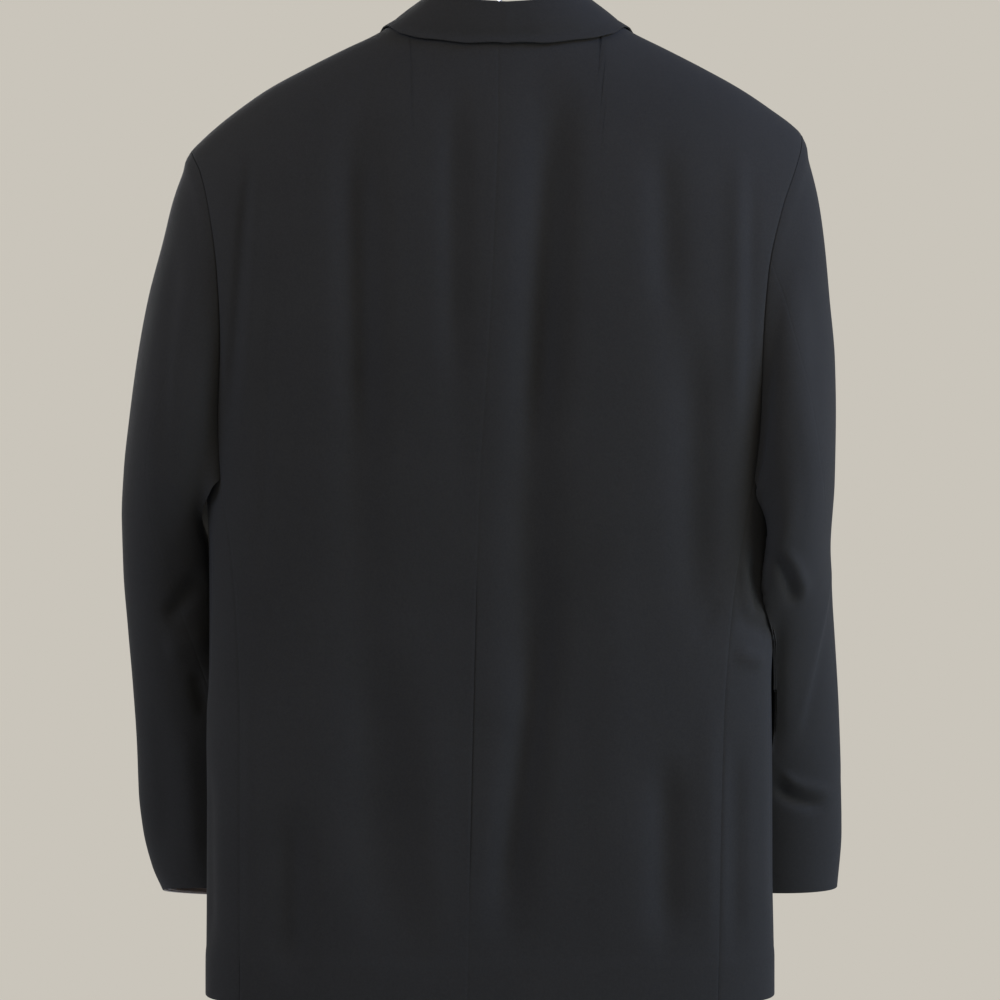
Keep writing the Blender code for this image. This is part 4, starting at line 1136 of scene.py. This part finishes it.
def yarn(name, dark, light):
    """Sewing thread with fine strands."""
    material, tree, shader = new_material(name, roughness=0.7, sheen=0.3)
    strands = noise(tree, object_coordinates(tree), 2600, 2.0)
    paint(tree, shader, strands, (0.3, dark), (0.7, light))
    bump(tree, shader, strands, 0.5, 0.0002)
    return material


def varnished_wood(name):
    """Long grain that runs with the bow, with darker pores, under a thin varnish."""
    material, tree, shader = new_material(name, roughness=0.36, coat=0.35)
    stretch = tree.nodes.new("ShaderNodeMapping")
    stretch.inputs["Scale"].default_value = (0.12, 1.0, 1.0)
    tree.links.new(object_coordinates(tree), stretch.inputs["Vector"])
    rings = noise(tree, stretch.outputs["Vector"], 130, 5.0, 0.6)
    pores = noise(tree, stretch.outputs["Vector"], 900, 2.0)
    tone = weighted(tree, (rings, 0.8), (pores, 0.2))
    paint(tree, shader, tone, (0.32, WOOD_DARK), (0.5, WOOD_MIDDLE), (0.68, WOOD_LIGHT))
    bump(tree, shader, tone, 0.2, 0.0004)
    return material


def steel_wire(name):
    """Bright drawn wire with a little wear."""
    material, tree, shader = new_material(name, roughness=0.22, metallic=1.0)
    wear = noise(tree, object_coordinates(tree), 420, 4.0, 0.65)
    paint(tree, shader, wear, (0.3, STEEL_DARK), (0.7, STEEL_LIGHT))
    roughen(tree, shader, wear, 0.22, 0.12)
    bump(tree, shader, wear, 0.08, 0.0001)
    return material


# Body panels


def crown_levels(step, end=SEAM_STEPS):
    """Rows from the armpit to the ridge of the shoulder, even along the cloth."""
    share = spaced(CROWN_LENGTH, step, end=end)
    rise = np.sin(share * math.pi / 2)
    return 1 + np.arcsin(np.clip(rise, 0, 1) ** (CROWN / 2)) / (math.pi / 2)


def body_rows():
    """Rows from the hem over the armpit to the shoulder, close together at the hem's edge."""
    low = spaced(ARMPIT_Z - HEM_Z, GRID_STEP, start=EDGE_STEPS)
    return np.concatenate([low[:-1], crown_levels(GRID_STEP)])


def seam_offset(side, x, z):
    """How far the left panel stands proud of the right one down the lower centre seam."""
    near = np.exp(-(((x - read(CENTRE, "x", z)) / SEAM_STEP_WIDTH) ** 2))
    length = ease((SEAM_STEP_Z[1] - z) / 0.08) * ease((z - SEAM_STEP_Z[0]) / 0.08)
    return side * SEAM_STEP * near * length


def hem_step(z):
    """The turned-up hem is two layers, so it stands out a little."""
    return HEM_STEP * ease((HEM_TURN_Z - z) / 0.003)


def panel_surface(side, face):
    """The outer surface of a back (face 1) or a front (face -1), with its creases."""
    edge = BACK_EDGE if face > 0 else FRONT_EDGE
    rows = BACK_CREASES if face > 0 else FRONT_CREASES[side]

    def surface(u, v):
        spot = body_point(u, v, 1) if face > 0 else front_point(side, u, v)
        x, z = spot[..., 0], spot[..., 2]
        inside = side * (read(edge, side_name(side), z) - x)
        depth = creases(rows, x, z) * ease(inside / PANEL_FADE)
        if face > 0:
            out = seam_offset(side, x, z) + hem_step(z) - depth
        else:
            out = hem_step(z + FRONT_HEM_DROP) - depth
        return spot + face * points(0, out, 0)

    return surface


def on_front(side, x, z, lift):
    """The point of a front at this x and z, lifted off it."""
    level = level_at(x, z, -1)
    surface = panel_surface(side, -1)
    return surface(x, level) + lift * slope_normal(surface, x, level, -1)


def panel_faces(side, x, level, facing):
    """Outer face, normals and inner face of a panel."""
    surface = panel_surface(side, facing)
    face = surface(x, level)
    normal = slope_normal(surface, x, level, facing)
    back = face - CLOTH * normal
    return face, normal, back


def build_back(side, materials):
    level = body_rows()[:, None]
    share = spaced(*BACK_GRID, start=SEAM_STEPS, end=SEAM_STEPS)[None, :]
    end = panel_edge(BACK_EDGE, side, level, 1)
    start = read(CENTRE, "x", height(0 * level, level, 1))
    x = mix(start, end, share)
    top = neckline_level(x)
    level = np.where(level <= 1, level, 1 + (level - 1) * (top - 1))
    face, normal, back = panel_faces(side, x, level, 1)
    face = sink_edges(face, normal, [(1, False)], CENTRE_SEAM)
    face = sink_edges(face, normal, [(1, True), (0, True)])
    face, back = round_edges(face, back, [(0, False)])
    cloth_piece(f"back_{side_name(side)}", face, back, materials, ["hanger_body"])


def build_front(side, materials):
    level = body_rows()[:, None]
    share = spaced(*FRONT_GRID, start=EDGE_STEPS, end=SEAM_STEPS)[None, :]
    end = panel_edge(FRONT_EDGE, side, level, -1)

    start = settle(0 * level, level, -1, lambda z: closure_x(side, z))
    x = mix(start, end, share)
    level = np.broadcast_to(level, x.shape)
    face, normal, back = panel_faces(side, x, level, -1)
    face = sink_edges(face, normal, [(1, True), (0, True)])
    face, back = round_edges(face, back, [(0, False), (1, False)])
    cloth_piece(f"front_{side_name(side)}", face, back, materials, ["hanger_body"])


def side_shape(side):
    """turn and level of a side panel's points."""
    level = spaced(ARMPIT_Z - HEM_Z, GRID_STEP, start=EDGE_STEPS, end=SEAM_STEPS)[:, None]
    share = spaced(*SIDE_GRID, start=SEAM_STEPS, end=SEAM_STEPS)[None, :]
    turns = []
    for rows, face in ((BACK_EDGE, 1), (FRONT_EDGE, -1)):
        edge = panel_edge(rows, side, level, face)
        out = spread(edge, height(edge, level, face))
        turn = np.arcsin(out ** (squareness(face) / 2))
        turns.append(turn if face > 0 else math.pi - turn)
    turn = mix(turns[0], turns[1], share)
    dip = ARMPIT_DIP / (ARMPIT_Z - HEM_Z)
    level = level * (1 - dip * np.sin(math.pi * share))
    return turn, level


def build_side(side, materials):
    turn, level = side_shape(side)

    def surface(u, v):
        return side_point(side, u, v)

    face = surface(turn, level)
    normal = slope_normal(surface, turn, level, side)
    across = edge_distance(face, 1, False)
    beyond = edge_distance(face, 1, True)
    depth = creases(SIDE_CREASES[side], across, face[..., 2])
    depth = depth * ease(across / SIDE_FADE) * ease(beyond / SIDE_FADE)
    depth = depth * ease((ARMPIT_Z - face[..., 2]) / 0.02) - hem_step(face[..., 2])
    face = face - depth[..., None] * normal
    normal = grid_normals(face) * np.sign((grid_normals(face) * normal).sum())
    back = face - CLOTH * normal
    face = sink_edges(face, normal, [(1, False), (1, True), (0, True)])
    face, back = round_edges(face, back, [(0, False)])
    hangs = [f"cloth_back_{side_name(side)}", f"cloth_front_{side_name(side)}"]
    cloth_piece(f"side_{side_name(side)}", face, back, materials, hangs)


# Sleeves


def ring_levels(seam):
    """Levels up one side of the armhole, with closer ones beside a sleeve's seam."""
    close = [seam + k * d for k in (-1, 1) for d in (0.002, 0.005, 0.010, 0.016)]
    even = crown_levels(RING_STEP, end=())
    even = even[np.abs(even - seam) > 0.020]
    return np.sort(np.concatenate([even, close, [seam]]))


def armhole(side):
    """The armhole as a ring of points, and the places in it of the two sleeve seams."""
    down = ring_levels(HIND_LEVEL)[::-1]
    up = ring_levels(FORE_LEVEL)
    behind = body_point(panel_edge(BACK_EDGE, side, down, 1), down, 1)
    before = body_point(panel_edge(FRONT_EDGE, side, up, -1), up, -1)
    turn, level = side_shape(side)
    under = side_point(side, turn[-1], level[-1])
    ring = np.concatenate([behind[:-1], under[:-1], before[:-1]])
    hind = int(np.argmin(np.abs(down - HIND_LEVEL)))
    fore = len(down) - 1 + len(under) - 1 + int(np.argmin(np.abs(up - FORE_LEVEL)))
    bottom = len(down) - 1 + len(under) // 2
    return ring, hind, fore, bottom


def sleeve_faces(side, stretch, ring, hind, bottom):
    """The sleeve's outer grid with its creases, and its normals."""
    face = sleeve_grid(side, stretch, ring, bottom)
    normal = grid_normals(face, closed=True)
    outward = face - face.mean(axis=1, keepdims=True)
    normal = normal * np.sign((normal * outward).sum())
    x, z = face[..., 0], face[..., 2]
    depth = np.zeros(x.shape)
    for way in (1, -1):
        facing = ease((way * normal[..., 1] + 0.15) / 0.5)
        depth += creases(SLEEVE_CREASES[side, way], x, z) * facing
    start = edge_distance(face, 0, False)
    depth = depth * ease(start / SLEEVE_FADE)
    angle = ring_angles(ring)
    top = sum(np.exp(-((angle[None, :] - middle) ** 2) / 0.5) for middle in (0, 2 * math.pi))
    depth = depth - CAP_PUFF * top * np.exp(-(((start - 0.010) / 0.007) ** 2))
    depth = depth + vent_depth(face, stretch, hind)
    face = face - depth[..., None] * normal
    fine = grid_normals(face, closed=True)
    fine = fine * np.sign((fine * normal).sum())
    under = ease((-np.cos(angle) - 0.2) / 0.6) * ease(stretch / SLEEVE_FADE)[:, None]
    inward = unit(face.mean(axis=1, keepdims=True) - face)
    inward = inward + points(side * UNDERARM_LEAN * under, 0, 0)
    share = ease((stretch - WALL_TURNS) / 0.06)[:, None, None]
    return face, unit(mix(-unit(inward), fine, share))


def vent_depth(face, stretch, hind):
    """At the cuff the top sleeve's edge lies over the under sleeve's."""
    along = ring_distance(face)
    off = along - along[:, hind : hind + 1]
    length = stretch[-1] - stretch[:, None]
    open_part = ease((VENT_LENGTH - length) / 0.012)
    under = VENT_UNDER * np.exp(-np.maximum(off, 0) / 0.012) * (off > 0)
    over = -VENT_OVER * np.exp(np.minimum(off, 0) / 0.010) * (off <= 0)
    return (under + over) * open_part


def build_sleeve(side, materials, lining, plastic, thread):
    ring, hind, fore, bottom = armhole(side)
    length = sleeve_rows(side, ring, bottom)["at"][-1]
    stretch = length * spaced(length, SLEEVE_STEP, start=SEAM_STEPS, end=EDGE_STEPS)
    face, normal = sleeve_faces(side, stretch, ring, hind, bottom)
    back = face - CLOTH * normal
    count = len(ring)
    name = side_name(side)
    pieces = {
        "top_sleeve": np.arange(fore, count + hind + 1) % count,
        "under_sleeve": np.arange(hind, fore + 1),
    }
    hangs = [f"cloth_back_{name}", f"cloth_front_{name}"]
    lined_from = int(np.searchsorted(stretch, LINED_FROM))
    low = ease((SEAM_SHOWS_Z - face[:, hind, 2]) / 0.06)[:, None]
    depth = mix(FAINT_SEAM, SLEEVE_SEAM, low)
    for kind, picks in pieces.items():
        outer, inner = face[:, picks], back[:, picks]
        outer = sink_edges(outer, normal[:, picks], [(1, False), (1, True)], depth)
        outer = sink_edges(outer, normal[:, picks], [(0, False)], SLEEVE_SEAM)
        outer, inner = round_edges(outer, inner, [(0, True)])
        cloth_piece(f"{kind}_{name}", outer, inner, materials, hangs, lined_from=lined_from)
    build_cuff_lining(side, stretch, face, normal, lining)
    build_sleeve_buttons(side, face, normal, plastic, thread)


def build_cuff_lining(side, stretch, face, normal, material):
    """The band of lining just inside the cuff."""
    top, low = stretch[-1] - np.array(CUFF_LINING)
    rows = np.where((stretch > top) & (stretch < low))[0]
    outer = face[rows] - (CLOTH + LAYER_GAP) * normal[rows]
    puff = LINING_PUFF * np.sin(np.linspace(0, 5 * math.pi, len(rows)))[:, None, None]
    outer = outer - (LINING_PUFF + puff) * normal[rows]
    inner = outer - LINING * 0.6 * normal[rows]
    name = side_name(side)
    hangs = [f"cloth_{kind}_{name}" for kind in ("top_sleeve", "under_sleeve")]
    cloth_piece(f"cuff_lining_{name}", outer, inner, [material], hangs, "lining", closed=True)


# Lapels and collar


def build_lapel(side, materials):
    """A lapel that rolls round the front's edge, then lies on the front."""
    reach = LAPEL_TOP_Z - LAPEL_START[side]
    rows = spaced(reach, LAPEL_STEP, end=EDGE_STEPS)
    z = mix(LAPEL_START[side], LAPEL_TOP_Z, rows)[:, None]
    share = spaced(*LAPEL_GRID, end=EDGE_STEPS)[None, :]
    start = roll_x(side, z)
    end = start + side * read(LAPEL, "width", z)
    if side < 0:
        start = np.minimum(start, roll_x(1, z) - LAPEL_CLEAR)
    width = np.abs(end - start) * share
    x = start + side * width * math.cos(LAPEL_RISE)
    height_z = z + width * math.sin(LAPEL_RISE)
    lift = LAPEL_GAP + LAPEL_LIFT * np.sin(math.pi * share**0.8) * np.ones_like(x)
    back = on_front(side, x, height_z, lift[..., None])
    face = on_front(side, x, height_z, lift[..., None] + CLOTH)
    face, back = round_edges(face, back, [(1, True), (0, True)])
    grow = ease((z - z[0]) / 0.03) * 0.95 + 0.05
    middle, radius = LAPEL_GAP / 2, LAPEL_GAP / 2 + CLOTH
    rolls = []
    for size in (radius, LAPEL_GAP / 2):
        columns = []
        for turn in np.radians(np.linspace(-90, 90, ROLL_COLUMNS + 1)[:-1]):
            out = size * math.cos(turn) * grow
            lifted = (middle + size * math.sin(turn)) * np.ones_like(z)
            spot = on_front(side, start, z, lifted[..., None])
            columns.append(spot - side * points(out, 0, 0))
        rolls.append(np.concatenate(columns, axis=1))
    face = np.concatenate([rolls[0], face], axis=1)
    back = np.concatenate([rolls[1], back], axis=1)
    name = side_name(side)
    cloth_piece(f"lapel_{name}", face, back, materials, [f"cloth_front_{name}"])


def neck_seam(side, at):
    """Points of the neck seam at these places of the collar's table."""
    x = NECK_X + side * NECK_HALF_WIDTH * np.minimum(at, 1)
    behind = body_point(x, neckline_level(x), 1)
    z = mix(ridge_z(neck_x(side)), GORGE_Z, np.maximum(at - 1, 0))
    before = on_front(side, roll_x(side, z), z, 0.0)
    return np.where(at[:, None] <= 1, behind, before)


def body_profile(x):
    """The body's outline at this x, from the front's armpit over the ridge to the back's."""
    level = np.concatenate([[0.8, 0.9], crown_levels(PROFILE_STEP, end=())])
    front = body_point(x + 0 * level, level, -1)[:, 1:]
    back = body_point(x + 0 * level, level, 1)[:, 1:]
    return np.concatenate([front, back[::-1][1:]])


def collar_path(side, at):
    """The fall's outer face: round the fold, then down to its edge on the body."""
    frame = collar_frame(side, at)
    path = [crest(frame, degrees) for degrees in np.linspace(150, 0, CREST_COLUMNS)]
    low = path[-1]
    for share in spaced(*FALL_GRID, end=EDGE_STEPS)[1:]:
        bent = at - NOTCH * ease(at - 1) * ease((share - 0.4) / 0.6)
        bulge = FALL_BULGE * math.sin(math.pi * share)
        path.append(mix(low, collar_edge(side, bent), share) + bulge * frame[1])
    return np.stack(path, axis=1)


def collar_half(side):
    """Four grids of one side: the fall's faces, then the stand's."""
    at = 2 * spaced(*COLLAR_GRID, end=EDGE_STEPS)
    outer = collar_path(side, at)
    inner = outer - COLLAR_CLOTH * side * grid_normals(outer)
    gap = COLLAR_GAP * 0.8
    for r in range(len(outer)):
        for c in range(CREST_COLUMNS - 1, outer.shape[1]):
            inner[r, c] = keep_off(inner[r, c], gap)
            outer[r, c] = keep_off(outer[r, c], gap + COLLAR_CLOTH)
    at = at[at <= STAND_END]
    frame = collar_frame(side, at)
    top = crest(frame, 180) - 0.0008 * frame[2]
    base = neck_seam(side, at) - (CLOTH * 0.5) * frame[1] + LAYER_GAP * frame[2]
    bow = STAND_BOW * frame[1]
    ways = np.linspace(0, 1, STAND_COLUMNS)
    stand = [mix(base, top, way) - math.sin(math.pi * way) * bow for way in ways]
    stand = np.stack(stand, axis=1)
    return outer, inner, stand, stand + COLLAR_CLOTH * frame[1][:, None]


def build_collar(materials):
    left, right = collar_half(1), collar_half(-1)
    fall, fall_under, stand, stand_in = (
        np.concatenate([b[::-1], a[1:]]) for a, b in zip(left, right)
    )
    fall, fall_under = round_edges(fall, fall_under, [(0, False), (0, True), (1, True)])
    hangs = ["cloth_back_left", "cloth_back_right"]
    cloth_piece("collar_fall", fall, fall_under, materials, hangs)
    cloth_piece("collar_stand", stand, stand_in, materials, hangs)


# Pockets and buttons


def build_patch(node, side, spec, corner, materials):
    """A flap or welt on a front panel, its lower corners rounded."""
    wide, high = spec["x"][1] - spec["x"][0], spec["height"]
    share, down = (
        spaced(length, step, start=EDGE_STEPS, end=EDGE_STEPS)
        for length, step in zip((wide, high), PATCH_STEPS)
    )
    share, down = share[None, :], down[:, None]
    into = np.clip((down * high - (high - corner)) / max(corner, 1e-6), 0, 1)
    inset = corner * (1 - np.sqrt(1 - into**2)) / wide
    share = inset + share * (1 - 2 * inset)
    x = side * mix(spec["x"][0], spec["x"][1], share) - (RIGHT_FLAP_SHIFT if side < 0 else 0)
    z = spec["z"] + spec["rise"] * share - high * down
    lift = LAYER_GAP + FLAP_LIFT * down**2 * np.sin(math.pi * share)
    back = on_front(side, x, z, lift[..., None])
    face = on_front(side, x, z, lift[..., None] + CLOTH)
    face, back = round_edges(face, back, [(0, False), (0, True), (1, False), (1, True)])
    cloth_piece(node, face, back, materials[:1], [f"cloth_front_{side_name(side)}"])


def button_mesh(name, radius):
    """A turned button: raised rim, dished middle and holes, from a polar grid."""
    tall = BUTTON_HEIGHT * radius
    turn = np.arange(BUTTON_STEPS) * 2 * math.pi / BUTTON_STEPS
    x = radius * BUTTON_RINGS[:, None] * np.cos(turn)
    y = radius * BUTTON_RINGS[:, None] * np.sin(turn)
    z = tall * curve(BUTTON_FACE["out"], BUTTON_FACE["up"], BUTTON_RINGS)[:, None] + 0 * x
    for k in range(HOLES):
        angle = math.pi / 4 + k * math.pi / 2
        hole = HOLE_AWAY * radius
        away = np.hypot(x - hole * math.cos(angle), y - hole * math.sin(angle))
        z = z - HOLE_DEPTH * tall * ease((HOLE_RADIUS * radius - away) / (HOLE_EDGE * radius))
    low = [(radius * out, tall * up) for out, up in BUTTON_UNDER]
    rows = [points(r * np.cos(turn), r * np.sin(turn), h + 0 * turn) for r, h in low]
    grid = np.concatenate([points(x, y, z), np.stack(rows)])
    count = len(grid)
    faces = grid_faces(count, BUTTON_STEPS, 0, True, False).tolist()
    faces.append(list(range(BUTTON_STEPS))[::-1])
    faces.append([(count - 1) * BUTTON_STEPS + k for k in range(BUTTON_STEPS)])
    mesh = bpy.data.meshes.new(name)
    mesh.from_pydata(grid.reshape(-1, 3).tolist(), [], faces)
    return mesh


def strand(made, radius, tall, angle, shift):
    """A bar of thread across the button's middle, in this direction and this far beside it."""
    rings = []
    for share in np.arange(THREAD_STEPS + 1) / THREAD_STEPS:
        out = radius * (HOLE_AWAY * (2 * share - 1))
        up = tall * (THREAD_FOOT + THREAD_RISE * math.sin(math.pi * share) ** 0.5)
        ring = []
        for j in range(THREAD_SIDES):
            a = 2 * math.pi * j / THREAD_SIDES + 2.5 * share
            twist = radius * THREAD_THICK * (1 + 0.12 * math.cos(3 * a))
            beside = radius * shift + twist * math.cos(a)
            spot = (
                out * math.cos(angle) - beside * math.sin(angle),
                out * math.sin(angle) + beside * math.cos(angle),
                up + twist * math.sin(a),
            )
            ring.append(made.verts.new(spot))
        rings.append(ring)
    for low, high in zip(rings[:-1], rings[1:]):
        for j in range(THREAD_SIDES):
            m = (j + 1) % THREAD_SIDES
            made.faces.new((low[j], low[m], high[m], high[j]))
    made.faces.new(rings[0][::-1])
    made.faces.new(rings[-1])


def thread_mesh(name, radius, tall):
    """Two crossing pairs of thread between the holes."""
    made = bmesh.new()
    for angle in (math.pi / 4, 3 * math.pi / 4):
        for shift in (-THREAD_OFFSET, THREAD_OFFSET):
            strand(made, radius, tall, angle, shift)
    mesh = bpy.data.meshes.new(name)
    made.to_mesh(mesh)
    made.free()
    return mesh


def place(name, mesh, material, spot, normal, spin):
    """Sets a small mesh on a surface, its +Z along the normal."""
    mesh.materials.append(material)
    mesh.shade_smooth()
    mesh.set_sharp_from_angle(angle=math.radians(38))
    turn = Vector((0, 0, 1)).rotation_difference(Vector(normal)).to_matrix().to_4x4()
    turn = turn @ Matrix.Rotation(spin, 4, "Z")
    turn.translation = Vector(spot)
    mesh.transform(turn)
    return link(name, mesh)


def build_button(node, radius, spot, normal, plastic, thread, spin):
    button = place(f"button_{node}", button_mesh(node, radius), plastic, spot, normal, spin)
    dress(button, node)
    mesh = thread_mesh(f"thread_{node}", radius, BUTTON_HEIGHT * radius)
    bars = place(f"thread_{node}", mesh, thread, spot, normal, spin)
    dress(bars, None)


def build_sleeve_buttons(side, face, normal, plastic, thread):
    """Four buttons on the sleeve, where the CAD has them."""
    for k in range(4):
        node = f"sleeve_button_{side_name(side)}_{k + 1}"
        low, high = (np.array(corner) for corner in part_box(node))
        spot = (low + high) / 2
        away = np.linalg.norm(face - spot, axis=-1)
        row, nearest = np.unravel_index(np.argmin(away), away.shape)
        direction = unit(normal[row, nearest])
        flush = face[row, nearest]
        spot = spot + direction * ((flush - spot) @ direction + BUTTON_PROUD)
        build_button(node, SLEEVE_BUTTON, spot, direction, plastic, thread, 0.3 + 0.5 * k)


def build_front_buttons(plastic, thread):
    for name, z, spin in FRONT_BUTTONS:
        x, z = np.array(centre_front(z)), np.array(z)
        spot = on_front(1, x, z, FRONT_BUTTON_PROUD)
        direction = unit(spot - on_front(1, x, z, 0.0))
        build_button(f"front_button_{name}", FRONT_BUTTON, spot, direction, plastic, thread, spin)


# Room


def link(name, data):
    """A new object with this data, in the scene."""
    item = bpy.data.objects.new(name, data)
    bpy.context.scene.collection.objects.link(item)
    return item


def area_light(name, toward, distance, size, energy, colour):
    data = bpy.data.lights.new(name, "AREA")
    data.shape = "DISK"
    data.size = size
    data.energy = energy
    data.color = colour
    lamp = link(name, data)
    direction = Vector(toward).normalized()
    lamp.location = Vector(LIGHTS_AIM) + direction * distance
    lamp.rotation_mode = "QUATERNION"
    lamp.rotation_quaternion = direction.to_track_quat("Z", "Y")


def build_room():
    world = bpy.data.worlds.new("studio")
    world.use_nodes = True
    world.node_tree.nodes["Background"].inputs["Color"].default_value = (*WALL, 1)
    world.node_tree.nodes["Background"].inputs["Strength"].default_value = 1.0
    bpy.context.scene.world = world
    for light in LIGHTS:
        area_light(*light)
    mesh = bpy.data.meshes.new("floor")
    corners = [(FLOOR_HALF * x, FLOOR_HALF * y) for x, y in ((-1, -1), (1, -1), (1, 1), (-1, 1))]
    mesh.from_pydata([(*corner, FLOOR_Z) for corner in corners], [], [(0, 1, 2, 3)])
    material, tree, shader = new_material("pale_floor", roughness=0.8)
    patches = noise(tree, object_coordinates(tree), 3, 3.0)
    paint(tree, shader, patches, (0.3, FLOOR_DARK), (0.7, FLOOR_LIGHT))
    mesh.materials.append(material)
    link("floor", mesh)


def build_camera():
    data = bpy.data.cameras.new("camera")
    data.lens = CAMERA_LENS
    data.sensor_width = CAMERA_SENSOR
    camera = link("camera", data)
    camera.location = CAMERA_SPOT
    camera.rotation_euler = (math.pi / 2, 0, math.pi)
    bpy.context.scene.camera = camera


# Assembly


def main():
    build_camera()
    build_room()
    bpy.context.scene.view_settings.view_transform = "Standard"
    cloth = worsted("black_worsted", CLOTH_DARK, CLOTH_LIGHT)
    lining = satin("brown_satin", LINING_DARK, LINING_LIGHT)
    plastic = horn("black_horn", BUTTON_DARK, BUTTON_LIGHT)
    thread = yarn("black_thread", THREAD_DARK, THREAD_LIGHT)
    lined = [cloth, lining]
    for side in (1, -1):
        build_back(side, lined)
        build_side(side, lined)
        build_front(side, lined)
        build_sleeve(side, lined, lining, plastic, thread)
        build_lapel(side, [cloth])
        build_patch(f"flap_{side_name(side)}", side, HIP_FLAP, FLAP_CORNER, [cloth])
    build_patch("welt_breast", 1, BREAST_WELT, 0.0, [cloth])
    build_collar([cloth])
    build_front_buttons(plastic, thread)
    for node, material in (
        ("hanger_body", varnished_wood("hanger_wood")),
        ("hanger_hook", steel_wire("hook_steel")),
    ):
        frame["nodes"][node].data.materials.clear()
        frame["nodes"][node].data.materials.append(material)


main()
